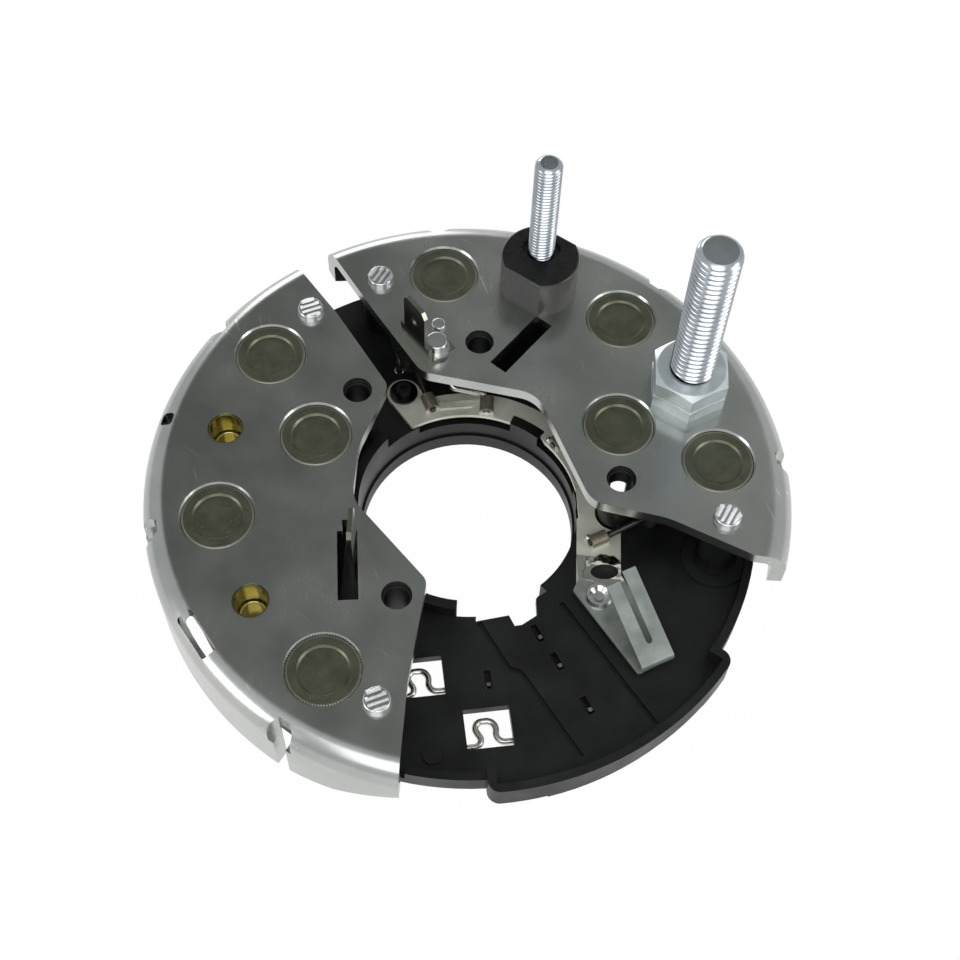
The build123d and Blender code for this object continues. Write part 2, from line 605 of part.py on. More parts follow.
def stud_insulator():
    """Round insulator with two flats, a dished top and a spigot through the heat sink."""
    round_part = Circle(INSULATOR_R)
    flats = Rot(0, 0, INSULATOR_TURN) * Rectangle(INSULATOR_FLATS, 3 * INSULATOR_R)
    block = Pos(*INSULATOR_AT, PLATE_TOP) * extrude(round_part & flats, amount=INSULATOR_TOP - PLATE_TOP)
    block = fillet(block.faces().sort_by(Axis.Z)[-1].edges(), 0.4)
    block += disc(M5_AT, INSULATOR_SPIGOT_R, PLATE_TOP - INSULATOR_SPIGOT_H, PLATE_TOP)
    block -= disc(M5_AT, INSULATOR_DISH_R, INSULATOR_TOP - INSULATOR_DISH, INSULATOR_TOP + 1)
    block -= disc(M5_AT, M5_R + THREAD_GAP, PLATE_TOP - 2 * INSULATOR_SPIGOT_H, INSULATOR_TOP + 1)
    return block


def spade_terminal():
    """Spade blade with shoulders, standing on a foot that is riveted to the heat sink."""
    half = (SPADE_BASE_W - SPADE_W) / 2
    blade = Polygon((0, PLATE_TOP), (SPADE_BASE_W, PLATE_TOP), (SPADE_BASE_W, SPADE_SHOULDER),
                    (SPADE_BASE_W - half, SPADE_SHOULDER), (SPADE_BASE_W - half, SPADE_TOP - 1.2),
                    (SPADE_BASE_W - half - SPADE_TAPER, SPADE_TOP), (half + SPADE_TAPER, SPADE_TOP),
                    (half, SPADE_TOP - 1.2), (half, SPADE_SHOULDER), (0, SPADE_SHOULDER), align=None)
    upright = Plane(origin=(*SPADE_CORNER, 0), x_dir=(*flat(place(1, SPADE_TURN)), 0),
                    z_dir=place(1, SPADE_TURN - 90))
    piece = extrude(upright * blade, amount=SPADE_T)
    piece -= extrude(upright * Pos(SPADE_BASE_W / 2, SPADE_SHOULDER + 4.2) * Circle(0.8), amount=0.3)
    foot = Polygon(spade_point(0, 0), spade_point(SPADE_FOOT_W, 0), spade_point(SPADE_FOOT_W, SPADE_FOOT),
                   spade_point(0, SPADE_FOOT), align=None)
    piece += slab(foot, PLATE_TOP, PLATE_TOP + SPADE_T)
    return piece - disc(spade_rivet, RIVET_SHANK_R + STAKE_SHANK_GAP, PLATE_TOP - 1, PLATE_TOP + 2)


def round_rivet(at, radius, low, height, flange, tail):
    """Round-head rivet whose flanged head sits on a level, with its shank down to a tail level."""
    head = turned([(0, low, 0), (radius, low, 0), (radius, low + height, 0.35), (0, low + height, 0)])
    head += disc((0, 0), radius + flange, low, low + 0.5)
    return Pos(*at, 0) * (head + disc((0, 0), RIVET_SHANK_R, tail, low))


def tap_blade():
    """Flat blade that taps one phase, standing in the base's tower."""
    middle = sum(TAP_Y) / 2
    half = (TAP_Y[1] - TAP_Y[0]) / 2
    blade = Polygon((-half, TAP_FOOT), (half, TAP_FOOT), (half, TAP_TOP - 1.2), (half - SPADE_TAPER, TAP_TOP),
                    (SPADE_TAPER - half, TAP_TOP), (-half, TAP_TOP - 1.2), align=None)
    piece = Pos(TAP_X + SPADE_T / 2, middle, 0) * extrude(Plane.YZ * blade, amount=-SPADE_T)
    bump = Pos(TAP_X - SPADE_T / 2, middle, TAP_TOP - 4.6) * Sphere(0.5)
    return piece + bump


def rail_hook(at, angle):
    """Arched hook of the rail over a lead that runs at an angle."""
    arch = Circle(HOOK_R) - Circle(EXCITER_LEAD_R + LEAD_GAP)
    arch &= Pos(0, HOOK_R / 2) * Rectangle(3 * HOOK_R, 2 * HOOK_R)
    legs = Pos(0, -HOOK_R / 4) * Rectangle(2 * HOOK_R, HOOK_R / 2) - Rectangle(
        2 * (EXCITER_LEAD_R + LEAD_GAP), 3 * HOOK_R)
    level = RAIL_TOP + EXCITER_LEAD_R + LEAD_GAP
    solid = extrude(Plane.YZ * (arch + legs), amount=HOOK_W / 2, both=True)
    solid &= Pos(0, 0, HOOK_R - EXCITER_LEAD_R - LEAD_GAP) * Box(4 * HOOK_R, 4 * HOOK_R, 2 * HOOK_R)
    return Pos(at[0], at[1], level) * Rot(0, 0, angle) * solid


def lead_angle(exciter):
    """Angle at which an exciter diode's lead leaves its hook."""
    hook = place(*exciter["hook"])
    start = exciter["body"][0]
    return degrees(atan2(start[1] - hook.Y, start[0] - hook.X))


def pad_hole():
    """Plan of the oval hole through the rail's pad and the leg of the spring contact."""
    return Pos(*PAD_HOLE_AT) * Rot(0, 0, 5) * Ellipse(*PAD_HOLE)


def exciter_rail():
    """Tinned strip that joins the exciter diodes to the warning-lamp stud and the spring contact."""
    strip = sector(RAIL_SPAN, RAIL_IN_R, RAIL_OUT_R)
    eye = place(*RAIL_PIN)
    strip += Pos(eye.X, eye.Y) * Circle(RAIL_EYE_R)
    strip += Polygon((-15.9, 22.6), (-11.4, 16.9), (-7.4, 22.5), (-11.2, 26.4), align=None)
    pad = Polygon(*RAIL_PAD, align=None) - pad_hole()
    neck = Polygon((20.4, -1.2), (27.8, -1.2), (25.2, 5.4), (24.0, 7.8), (19.7, 6.0), align=None)
    strip += pad + neck
    strip -= Circle(RAIL_IN_R - 0.3) + Polygon(*RAIL_CHORD, align=None)
    start, end = LUGS[0][0]
    strip -= sector((start - 0.5, end + 0.5), RAIL_IN_R - 1, REBATE_R + 0.1)
    for at in all_mounts:
        strip -= Pos(at.X, at.Y) * Circle(MOUNT_BUSH_R + 0.35)
    strip -= Pos(eye.X, eye.Y) * Circle(RAIL_PIN_R + SPIGOT_GAP)
    strip -= Pos(*SPRING_RIVET_AT) * Circle(RIVET_SHANK_R + STAKE_SHANK_GAP)
    rail = slab(strip, FLOOR_TOP, RAIL_TOP)
    rib = place(*RAIL_RIB_AT, RAIL_TOP)
    rail += Pos(*rib) * Rot(0, 0, RAIL_RIB_AT[1] - 90) * extrude(SlotOverall(*RAIL_RIB[:2]), amount=RAIL_RIB[2])
    for exciter in EXCITERS:
        rail += rail_hook(flat(place(*exciter["hook"])), lead_angle(exciter))
    rail += rail_hook(flat(place(*LAMP_HOOK)), LAMP_HOOK_TURN)
    return rail


def rail_washer():
    """Push-on washer that holds the rail on its moulded pin."""
    ring = Circle(RAIL_WASHER_R) - Circle(RAIL_PIN_R + SPIGOT_GAP)
    at = place(*RAIL_PIN, RAIL_TOP)
    return Pos(*at) * extrude(ring, amount=RAIL_WASHER_T)


def exciter_diode(exciter):
    """Axial diode with one lead in a hook of the rail and one down to a phase wire."""
    hook = place(*exciter["hook"])
    (x, y), turn = exciter["body"]
    ahead = Vector(cos(radians(turn)), sin(radians(turn)), 0)
    start = Vector(x, y, EXCITER_Z)
    end = start + ahead * EXCITER_L
    low = RAIL_TOP + EXCITER_LEAD_R + LEAD_GAP
    back = Vector(hook.X - start.X, hook.Y - start.Y, 0).normalized()
    tip = Vector(hook.X, hook.Y, low) + back * HOOK_W * 0.6
    rise = Vector(hook.X, hook.Y, low) - back * HOOK_W * 0.7
    near = start - ahead * 1.6
    foot = Vector(*exciter["foot"], LEAD_END)
    far = Vector(foot.X, foot.Y, EXCITER_Z)
    body = Plane(origin=start, z_dir=ahead) * extrude(Circle(EXCITER_R), amount=EXCITER_L)
    body = fillet(body.edges().filter_by(GeomType.CIRCLE), 0.4)
    cathode = tube([tip, rise, near, start + ahead], EXCITER_LEAD_R, EXCITER_BEND)
    anode = tube([end - ahead, end + ahead * 1.2, far, foot], EXCITER_LEAD_R, EXCITER_BEND)
    return body + cathode + anode


def lamp_lead():
    """Lead from the head of the warning-lamp stud to the rail."""
    hook = place(*LAMP_HOOK)
    low = RAIL_TOP + EXCITER_LEAD_R + LEAD_GAP
    along = place(1, LAMP_HOOK_TURN)
    tip = Vector(hook.X, hook.Y, low) - along * HOOK_W * 0.6
    rise = Vector(hook.X, hook.Y, low) + along * HOOK_W * 0.75
    head_low = PLATE_TOP - INSULATOR_SPIGOT_H - M5_HEAD_H
    top = head_low - EXCITER_LEAD_R - LEAD_GAP
    under = Vector(*M5_AT, top)
    outward = Vector(M5_AT[0] + 1.5, M5_AT[1] + 3.0, top)
    past_bush = Vector(-4.5, 24.4, (low + top) / 2)
    bend = Vector(-4.8, 31.0, top)
    return tube([tip, rise, past_bush, bend, under, outward], EXCITER_LEAD_R, EXCITER_BEND)


def spring_contact():
    """Folded leaf spring: flat leg under the rivet, fold, and a slotted tongue that rises."""
    ahead = place(1, SPRING_TURN)
    side = place(1, SPRING_TURN - 90)
    low = RAIL_TOP
    fold = Vector(*SPRING_FOLD, low)
    upright = Plane(origin=fold, x_dir=ahead, z_dir=side)
    centre = SPRING_T / 2
    path = FilletPolyline((5.0, centre), (centre, centre), (centre, centre + SPRING_STEP),
                          (SPRING_REACH, centre + SPRING_STEP + SPRING_RISE), radius=0.6)
    tongue = extrude(upright * trace(path, SPRING_T), amount=SPRING_W / 2, both=True)
    slot_w, slot_l = SPRING_SLOT
    slot = Pos(SPRING_REACH - slot_l / 2, 0) * SlotOverall(slot_l + slot_w, slot_w)
    slot += Pos(SPRING_REACH, 0) * Rectangle(slot_w * 2, slot_w)
    short = Pos(SPRING_REACH, SPRING_W / 2) * Rectangle(2 * SPRING_SHORT_LEG, SPRING_W)
    plan = Plane(origin=fold, x_dir=ahead, z_dir=(0, 0, 1))
    cut = extrude(plan * Pos(0, 0, SPRING_STEP + 0.9) * (slot + short), amount=3 * SPRING_RISE)
    tongue -= cut
    leg = outline([(20.0, -8.8, 0), (27.9, -9.6, 0.8), (28.0, -12.6, 0), (36.9, -27.8, 0),
                   (31.5, -31.2, 0), (30.8, -31.4, 0.4), (19.4, -16.0, 0.4), (20.4, -13.6, 0)])
    leg -= pad_hole()
    leg -= Pos(*SPRING_RIVET_AT) * Circle(RIVET_SHANK_R + STAKE_SHANK_GAP)
    return tongue + slab(leg, low, low + SPRING_T)


def spring_contact_rivet():
    """Dimpled rivet that clamps the spring contact and the rail to the floor."""
    low = RAIL_TOP + SPRING_T
    high = low + SPRING_RIVET_H
    head = turned([(0, high - 0.7, 0), (0.9, high - 0.7, 0), (1.7, high, 0), (SPRING_RIVET_R - 0.3, high, 0),
                   (SPRING_RIVET_R, low + 0.4, 0), (SPRING_RIVET_R, low, 0), (RIVET_SHANK_R, low, 0),
                   (RIVET_SHANK_R, FLOOR_BOTTOM, 0), (1.8, FLOOR_BOTTOM, 0), (1.6, FLOOR_BOTTOM - 0.6, 0),
                   (0, FLOOR_BOTTOM - 0.6, 0)])
    return Pos(*SPRING_RIVET_AT, 0) * head


def phase_wire(route):
    """Round wire under the floor along a plan route."""
    return tube([Vector(x, y, WIRE_Z) for x, y in WIRE_ROUTES[route]], WIRE_R, WIRE_BEND)


def staple(radius, angle):
    """Small staple: a tongue up through its slot and a foot that lies under the wire."""
    at = place(radius, angle)
    tip = FLOOR_TOP + STAPLE_STANDS
    foot = WIRE_Z - WIRE_R - LEAD_GAP
    leg = Pos(STAPLE_LEG_X, 0, (tip + foot) / 2) * Box(STAPLE_T, STAPLE_T, tip - foot)
    sole = Pos(0, 0, foot - STAPLE_T / 2) * Box(2 * STAPLE_LEG_X + STAPLE_T, STAPLE_W / 2, STAPLE_T)
    return Pos(at.X, at.Y, 0) * Rot(0, 0, angle) * (leg + sole)


def at_point(point, shape):
    """Copy of a piece that was made on the Z axis, moved in plan."""
    return Pos(point.X, point.Y, 0) * shape


def save(name, shape):
    """One STEP file per sub-part."""
    solids = shape.solids()
    shape = solids[0] if len(solids) == 1 else Compound(children=list(solids))
    export_step(shape, f"parts/{name}.step")


os.makedirs("parts", exist_ok=True)

save("terminal_base", terminal_base())
save("negative_plate", negative_plate())
save("positive_plate", positive_plate())

diode = press_fit_diode()
for side, diodes in (("negative", negative_diodes), ("positive", positive_diodes)):
    for number, at in enumerate(diodes, start=1):
        save(f"{side}_diode_{number}", at_point(at, diode))

insert = brass_insert()
for number, at in enumerate(inserts, start=1):
    save(f"brass_insert_{number}", at_point(at, insert))

rivet = staked_rivet()
for side in ("negative", "positive"):
    save(f"{side}_staked_rivets", Compound([at_point(at, rivet) for at in stakes[side]]))

m8_nut_bore = M8_SHANK_R + THREAD_GAP
m8_collar_top = PLATE_TOP + M8_COLLAR_H
m8_nut_low = m8_collar_top + M8_HEX_SEAM
m8_seat = m8_nut_low + M8_NUT_H + SEAT_GAP
save("battery_stud", Pos(*M8_AT, 0) * stud(M8_R, M8_SHANK_R, M8_TOP, M8_TIP, M8_HEX, M8_HEAD_H, PLATE_BOTTOM,
                                               m8_seat))
save("battery_stud_lower_nut", Pos(*M8_AT, 0) * hex_ring(m8_nut_bore, M8_HEX, PLATE_TOP, m8_collar_top))
save("battery_stud_upper_nut", Pos(*M8_AT, 0) * hex_ring(m8_nut_bore, M8_HEX, m8_nut_low,
                                                         m8_nut_low + M8_NUT_H))
m5_head_top = PLATE_TOP - INSULATOR_SPIGOT_H
m5_seat = INSULATOR_TOP + SEAT_GAP
save("lamp_stud", Pos(*M5_AT, 0) * stud(M5_R, M5_SHANK_R, M5_TOP, M5_TIP, M5_HEX, M5_HEAD_H, m5_head_top,
                                            m5_seat))
save("stud_insulator", stud_insulator())
save("lamp_stud_lead", lamp_lead())

save("spade_terminal", spade_terminal())
save("spade_rivet", round_rivet(spade_rivet, SPADE_RIVET_R, PLATE_TOP + SPADE_T, SPADE_RIVET_H, 0.4,
                                PLATE_BOTTOM))
save("spade_locating_pin", round_rivet(SPADE_PIN_AT, SPADE_PIN_R, PLATE_TOP, SPADE_PIN_H, 0, PLATE_BOTTOM))
save("phase_tap_blade", tap_blade())

save("exciter_rail", exciter_rail())
save("rail_washer", rail_washer())
for number, exciter in enumerate(EXCITERS, start=1):
    save(f"exciter_diode_{number}", exciter_diode(exciter))
save("spring_contact", spring_contact())
save("spring_contact_rivet", spring_contact_rivet())

for route in WIRE_ROUTES:
    save(route, phase_wire(route))
save("wire_staples", Compound([staple(*spot) for spot in STAPLES]))
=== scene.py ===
# %% [markdown]
# # Alternator rectifier
# This lesson dresses the solids of an alternator rectifier: two folded heat sinks with press-fit
# diodes over a black moulded base, two threaded studs, two spade terminals and a tinned rail. The
# solids could be modelled again here, but they already have true sizes, so they come in as a fixed
# frame in metres. The lesson adds their finishes, and the threads, teeth and beads too fine for them.

# %% Load the frame
from math import cos, pi, radians, sin

import bmesh
import bpy
from mathutils import Matrix, Vector


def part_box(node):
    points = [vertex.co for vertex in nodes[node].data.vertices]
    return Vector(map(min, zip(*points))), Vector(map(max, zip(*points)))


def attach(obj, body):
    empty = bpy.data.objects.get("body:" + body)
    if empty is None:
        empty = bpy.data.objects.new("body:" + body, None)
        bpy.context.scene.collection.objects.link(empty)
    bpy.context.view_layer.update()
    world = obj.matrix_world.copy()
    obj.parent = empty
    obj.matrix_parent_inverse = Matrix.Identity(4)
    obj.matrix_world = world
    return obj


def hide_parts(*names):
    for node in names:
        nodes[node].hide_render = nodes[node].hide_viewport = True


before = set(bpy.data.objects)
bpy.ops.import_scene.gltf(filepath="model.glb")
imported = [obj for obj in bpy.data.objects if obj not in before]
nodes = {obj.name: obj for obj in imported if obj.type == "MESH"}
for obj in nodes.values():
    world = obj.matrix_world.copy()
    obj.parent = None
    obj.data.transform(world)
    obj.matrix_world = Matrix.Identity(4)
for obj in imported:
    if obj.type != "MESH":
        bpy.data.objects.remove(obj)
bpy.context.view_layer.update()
MM = 0.001
print("solids loaded:", len(nodes))

# %% [markdown]
# ## Colours and nodes
# Colours are easiest to pick as the hex values of a paint chart, but shaders want linear numbers,
# so one function turns them. Shader trees and geometry trees are both nodes with settings and
# links, so one function adds a node to either. Three kinds that come often get short names, and
# their inputs are called by number. A Map Range reads input 0, with 1 and 2 as the limits that it
# reads between and 3 and 4 as what it gives there, or 0 and 1 where these are left out. A Mix goes
# by input 0 from input 2 to 3, or from 6 to 7 where it mixes colours.

# %% Colour and node helpers
MATH = "ShaderNodeMath"
RANGE = "ShaderNodeMapRange"
MIX = "ShaderNodeMix"


def linear(hex_colour):
    """Linear colour with alpha from an sRGB hex value."""
    parts = [int(hex_colour[i:i + 2], 16) / 255 for i in (1, 3, 5)]
    return [c / 12.92 if c <= 0.04045 else ((c + 0.055) / 1.055) ** 2.4 for c in parts] + [1.0]


def add(tree, kind, inputs=None, **settings):
    """Node of a kind, with its settings, and with each input given a value or a link."""
    node = tree.nodes.new(kind)
    for key, value in settings.items():
        setattr(node, key, value)
    for socket, value in (inputs or {}).items():
        if isinstance(value, bpy.types.NodeSocket):
            tree.links.new(value, node.inputs[socket])
        else:
            node.inputs[socket].default_value = value
    return node


print("mid grey is", round(linear("#808080")[0], 3), "in linear light")

# %% [markdown]
# ## Grain with a real size
# What makes metal and plastic look real at this scale is small: rolling lines a third of a
# millimetre apart, faint clouds, uneven gloss. A picture of them would need unwrapping. A noise that
# reads Object coordinates needs none, and its scale follows from the grain's size in millimetres.
# Noise keeps near a half, so a share read from it is stretched between two limits on either side.

# %% Start of a finish, and its grain
SPREAD = {1: 0.35, 2: 0.65}
finishes = {}


def new_finish(name):
    """Empty material that is named for a real finish; returns it and its tree."""
    material = bpy.data.materials.new(name)
    material.use_nodes = True
    material.node_tree.nodes.clear()
    return material, material.node_tree


def grain(tree, size_mm, stretch=(1, 1, 1), turn=0.0, detail=3.0):
    """Grain of a real size, longer along the stretched axes, turned in the flat by some degrees."""
    place = add(tree, "ShaderNodeTexCoord").outputs["Object"]
    turned = add(tree, "ShaderNodeMapping", {"Vector": place, "Rotation": (0, 0, radians(turn))}).outputs[0]
    squeezed = add(tree, "ShaderNodeMapping", {"Vector": turned, "Scale": [1 / s for s in stretch]})
    return add(tree, "ShaderNodeTexNoise", {"Vector": squeezed.outputs[0], "Scale": 1 / (size_mm * MM),
                                            "Detail": detail}).outputs["Fac"]


def two_tones(tree, noise, tones):
    """Colour that drifts between two tones as a noise does."""
    share = add(tree, RANGE, {0: noise, **SPREAD}).outputs[0]
    return add(tree, MIX, {0: share, 6: linear(tones[0]), 7: linear(tones[1])}, data_type="RGBA").outputs[2]


def keep(key, material):
    """Keeps a finish under its workshop name."""
    finishes[key] = material
    print("finish:", material.name, "with", len(material.node_tree.nodes), "nodes")


print("noise is stretched between", SPREAD[1], "and", SPREAD[2])

# %% [markdown]
# ## Satin aluminium of the heat sinks
# The heat sinks are rolled aluminium sheet, pressed, folded and tumbled. Rolled sheet is smooth but
# not polished: it mirrors what stands on it with a soft blur, shows faint rolling lines, and
# carries a few handling scratches. One colour would look like paint, so a stretched grain gives the
# lines, two at other turns give rare scratches, and a wide one gives the clouds. A scratch is only
# the highest peak of its grain, from about three quarters up, and so there are few.


# %% Heat sink finish
def satin_aluminium():
    """Rolled sheet: a blurred mirror with fine rolling lines, rare scratches and faint clouds."""
    material, tree = new_finish("satin_rolled_aluminium")
    clouds = grain(tree, 14, detail=4)
    lines = grain(tree, 0.35, stretch=(1, 14, 1), turn=4)
    long_marks = grain(tree, 0.5, stretch=(24, 1, 1), turn=33, detail=1)
    stray_marks = grain(tree, 0.6, stretch=(1, 16, 1), turn=-22, detail=1)
    long_seen = add(tree, RANGE, {0: long_marks, 1: 0.75, 2: 0.83}).outputs[0]
    stray_seen = add(tree, RANGE, {0: stray_marks, 1: 0.74, 2: 0.82}).outputs[0]
    marks = add(tree, MATH, {0: long_seen, 1: stray_seen}, operation="MAXIMUM").outputs[0]
    sheet = two_tones(tree, clouds, ("#a7aaa7", "#babcb9"))
    marked = add(tree, MIX, {0: marks, 6: sheet, 7: linear("#dcdedc")}, data_type="RGBA").outputs[2]
    line_gloss = add(tree, RANGE, {0: lines, 1: 0.3, 2: 0.7, 3: 0.225, 4: 0.25}).outputs[0]
    cloud_gloss = add(tree, RANGE, {0: clouds, **SPREAD, 3: -0.02, 4: 0.03}).outputs[0]
    gloss = add(tree, MATH, {0: line_gloss, 1: cloud_gloss}, operation="ADD").outputs[0]
    normal = add(tree, "ShaderNodeBump", {"Height": marks, "Distance": 0.01 * MM, "Strength": 0.3}).outputs[0]
    shader = add(tree, "ShaderNodeBsdfPrincipled", {"Base Color": marked, "Metallic": 1.0, "Roughness": gloss,
                                                    "Normal": normal})
    add(tree, "ShaderNodeOutputMaterial", {"Surface": shader.outputs[0]})
    return material


keep("aluminium", satin_aluminium())

# %% [markdown]
# ## Dull nickel of the press-fit diodes
# A press-fit diode is a metal cup with a dull nickel plate. Its top is olive grey and finely
# pitted. A pale band near the rim is a painted highlight, where the rim's edge looks lit. It could
# be a separate ring of faces. It is read from the distance to each diode's own middle instead, which
# needs a copy of the finish for each diode, so these are made later, when the solids get theirs.

# %% Diode finish
# The painted highlight ring lies between these distances from a diode's middle.
PAINTED_HIGHLIGHT_FROM = 5.9 * MM
PAINTED_HIGHLIGHT_TO = 6.2 * MM


def dull_nickel(name, centre):
    """Plated cup: olive grey, finely pitted, with a painted highlight in a band round the diode's own middle.
    """
    material, tree = new_finish(name)
    place = add(tree, "ShaderNodeTexCoord")
    centred = add(tree, "ShaderNodeMapping", {"Vector": place.outputs["Object"],
                                              "Location": (-centre.x, -centre.y, 0), "Scale": (1, 1, 0)})
    away = add(tree, "ShaderNodeVectorMath", {0: centred.outputs[0]}, operation="LENGTH").outputs["Value"]
    pits = grain(tree, 0.35, detail=4)
    plate = two_tones(tree, grain(tree, 3.5), ("#5c5e4f", "#696b5b"))
    pale = add(tree, RANGE, {0: pits, 1: 0.58, 2: 0.75, 3: 0.0, 4: 0.7}).outputs[0]
    pitted = add(tree, MIX, {0: pale, 6: plate, 7: linear("#7d7e6f")}, data_type="RGBA").outputs[2]
    # Painted highlight: the pale band near the rim, where the edge looks lit.
    painted_light = add(tree, RANGE, {0: away, 1: PAINTED_HIGHLIGHT_FROM, 2: PAINTED_HIGHLIGHT_TO}).outputs[0]
    colour = add(tree, MIX, {0: painted_light, 6: pitted, 7: linear("#9c9d90")}, data_type="RGBA").outputs[2]
    gloss = add(tree, RANGE, {0: pits, **SPREAD, 3: 0.38, 4: 0.48}).outputs[0]
    normal = add(tree, "ShaderNodeBump", {"Height": pits, "Distance": 0.014 * MM, "Strength": 0.6}).outputs[0]
    shader = add(tree, "ShaderNodeBsdfPrincipled", {"Base Color": colour, "Metallic": 1.0, "Roughness": gloss,
                                                    "Normal": normal})
    add(tree, "ShaderNodeOutputMaterial", {"Surface": shader.outputs[0]})
    return material


print("a diode is rubbed pale from", round(PAINTED_HIGHLIGHT_FROM / MM, 1), "mm off its middle")

# %% [markdown]
# ## Glass-filled polyamide of the base
# The base is moulded in glass-filled polyamide. Straight from a satin mould it is deep black with a
# soft shine, and the fibres near the skin give a fine grain and a few pale specks, again the peaks
# of a grain. A plain black would hide every rib, so the shine drifts in wide patches and lets the
# light pick the forms out.


# %% Base finish
def black_moulding():
    """Glass-filled polyamide: black, with a satin skin, a fibre grain and pale specks."""
    material, tree = new_finish("glass_filled_polyamide")
    fibres = grain(tree, 0.4, stretch=(1, 3, 1), turn=20, detail=4)
    patches = grain(tree, 9)
    specks = grain(tree, 0.3, detail=1)
    skin = two_tones(tree, patches, ("#0a0b0b", "#121313"))
    seen = add(tree, RANGE, {0: specks, 1: 0.76, 2: 0.82, 3: 0.0, 4: 0.4}).outputs[0]
    colour = add(tree, MIX, {0: seen, 6: skin, 7: linear("#55575a")}, data_type="RGBA").outputs[2]
    gloss = add(tree, RANGE, {0: patches, **SPREAD, 3: 0.36, 4: 0.5}).outputs[0]
    normal = add(tree, "ShaderNodeBump", {"Height": fibres, "Distance": 0.03 * MM, "Strength": 0.5})
    shader = add(tree, "ShaderNodeBsdfPrincipled", {"Base Color": colour, "Metallic": 0.0, "Roughness": gloss,
                                                    "IOR": 1.53, "Specular IOR Level": 0.28,
                                                    "Normal": normal.outputs[0]})
    add(tree, "ShaderNodeOutputMaterial", {"Surface": shader.outputs[0]})
    return material


keep("moulding", black_moulding())

# %% [markdown]
# ## Hard black plastics
# The lamp stud's insulator is a thermoset moulding, and the small exciter diodes are epoxy. Both are
# cured in a polished mould, so they are harder and shinier than the base, with a faint ripple.
# Their drawn sides are painted greyer than the top: painted light, where the sides look lit. That
# could be a second slot, but the faces are one mesh, so the surface's own upward share tells side
# from top.


# %% Insulator and epoxy finish
def hard_black_plastic(name, tones, side, rough):
    """Thermoset or epoxy moulding: a shiny black top with a faint ripple, and painted light greying the
    sides.
    """
    material, tree = new_finish(name)
    facing = add(tree, "ShaderNodeTexCoord").outputs["Normal"]
    upward = add(tree, "ShaderNodeSeparateXYZ", {0: facing}).outputs[2]
    # Painted light: faces that point sideways are painted greyer, as lit sides look.
    painted_light = add(tree, RANGE, {0: upward, 1: 0.3, 2: 0.8, 3: 1.0, 4: 0.0}).outputs[0]
    ripple = grain(tree, 2.5, detail=2)
    fine = grain(tree, 0.25)
    top = two_tones(tree, fine, tones)
    colour = add(tree, MIX, {0: painted_light, 6: top, 7: linear(side)}, data_type="RGBA").outputs[2]
    gloss = add(tree, RANGE, {0: ripple, **SPREAD, 3: rough[0], 4: rough[1]}).outputs[0]
    normal = add(tree, "ShaderNodeBump", {"Height": fine, "Distance": 0.006 * MM, "Strength": 0.5}).outputs[0]
    shader = add(tree, "ShaderNodeBsdfPrincipled", {"Base Color": colour, "Metallic": 0.0, "Roughness": gloss,
                                                    "IOR": 1.56, "Specular IOR Level": 0.4, "Normal": normal})
    add(tree, "ShaderNodeOutputMaterial", {"Surface": shader.outputs[0]})
    return material


# The third colour is the painted light on the sides.
keep("insulator", hard_black_plastic("hard_black_insulator", ("#070707", "#0e0e0e"), "#474745", (0.22, 0.32)))
keep("epoxy", hard_black_plastic("diode_epoxy", ("#141210", "#1f1c19"), "#25221f", (0.2, 0.32)))

# %% [markdown]
# ## Plated and bare metals
# Zinc on the studs and nuts, bare aluminium on the rivets, turned brass, dark steel, tin, drawn wire
# and solder differ in tone and gloss, but each is a metal that drifts between two tones, with a
# gloss that follows its own fine grain. Eight finishes written out would hide that, so one recipe
# takes the tones, the gloss and the grain's real size. The roughness runs from 0.1 for solder to 0.3
# for drawn wire. Passivated zinc on the nuts is a little milky, and that share is taken off its
# metallic value.


# %% Metal finish
def plated_metal(name, tones, rough, grain_mm, stretch=(1, 1, 1), cloud_mm=4.0, metallic=1.0):
    """Metal with two tones in clouds, and a gloss that follows a fine grain."""
    material, tree = new_finish(name)
    fine = grain(tree, grain_mm, stretch=stretch)
    colour = two_tones(tree, grain(tree, cloud_mm), tones)
    gloss = add(tree, RANGE, {0: fine, **SPREAD, 3: rough[0], 4: rough[1]}).outputs[0]
    shader = add(tree, "ShaderNodeBsdfPrincipled", {"Base Color": colour, "Metallic": metallic,
                                                    "Roughness": gloss})
    add(tree, "ShaderNodeOutputMaterial", {"Surface": shader.outputs[0]})
    return material


keep("zinc", plated_metal("bright_zinc_plate", ("#a3a8ae", "#b6babf"), (0.2, 0.22), 0.5))
keep("blue_zinc", plated_metal("blue_zinc_plate", ("#bfc9cb", "#dae1e1"), (0.25, 0.265), 0.5, metallic=0.72))
keep("rivet", plated_metal("staked_rivet_aluminium", ("#bfc2c2", "#d2d4d3"), (0.2, 0.26), 0.6))
keep("brass", plated_metal("turned_brass", ("#8f8650", "#a2996a"), (0.14, 0.19), 0.3, stretch=(4, 4, 1)))
keep("washer", plated_metal("oiled_spring_steel", ("#3c3e3f", "#525456"), (0.16, 0.24), 0.5))
keep("spade", plated_metal("tinned_spade", ("#8b8d80", "#9fa195"), (0.2, 0.23), 0.8))
keep("wire", plated_metal("tinned_wire", ("#b3b3ad", "#cfcfca"), (0.22, 0.3), 0.3))
keep("solder", plated_metal("soft_solder", ("#bdbfbd", "#d5d7d6"), (0.1, 0.2), 0.6, cloud_mm=1.2))

# %% [markdown]
# ## Tinned strip, its heat tint and its solder
# The rail is tinned strip: cream grey and half matt. Where its hooks were welded over the leads
# they turned brown, and round the spring's joint the solder flowed out into a bright, uneven skin.
# Both could be painted by hand. Here the height above the strip finds the hooks, and the distance
# to the joint finds the solder, so the finish stays right if the rail is made again. The joint is
# in the middle of the hole in the spring contact's foot. The spring shares the solder, so it
# shares the recipe, with tones of nickel and no tint.

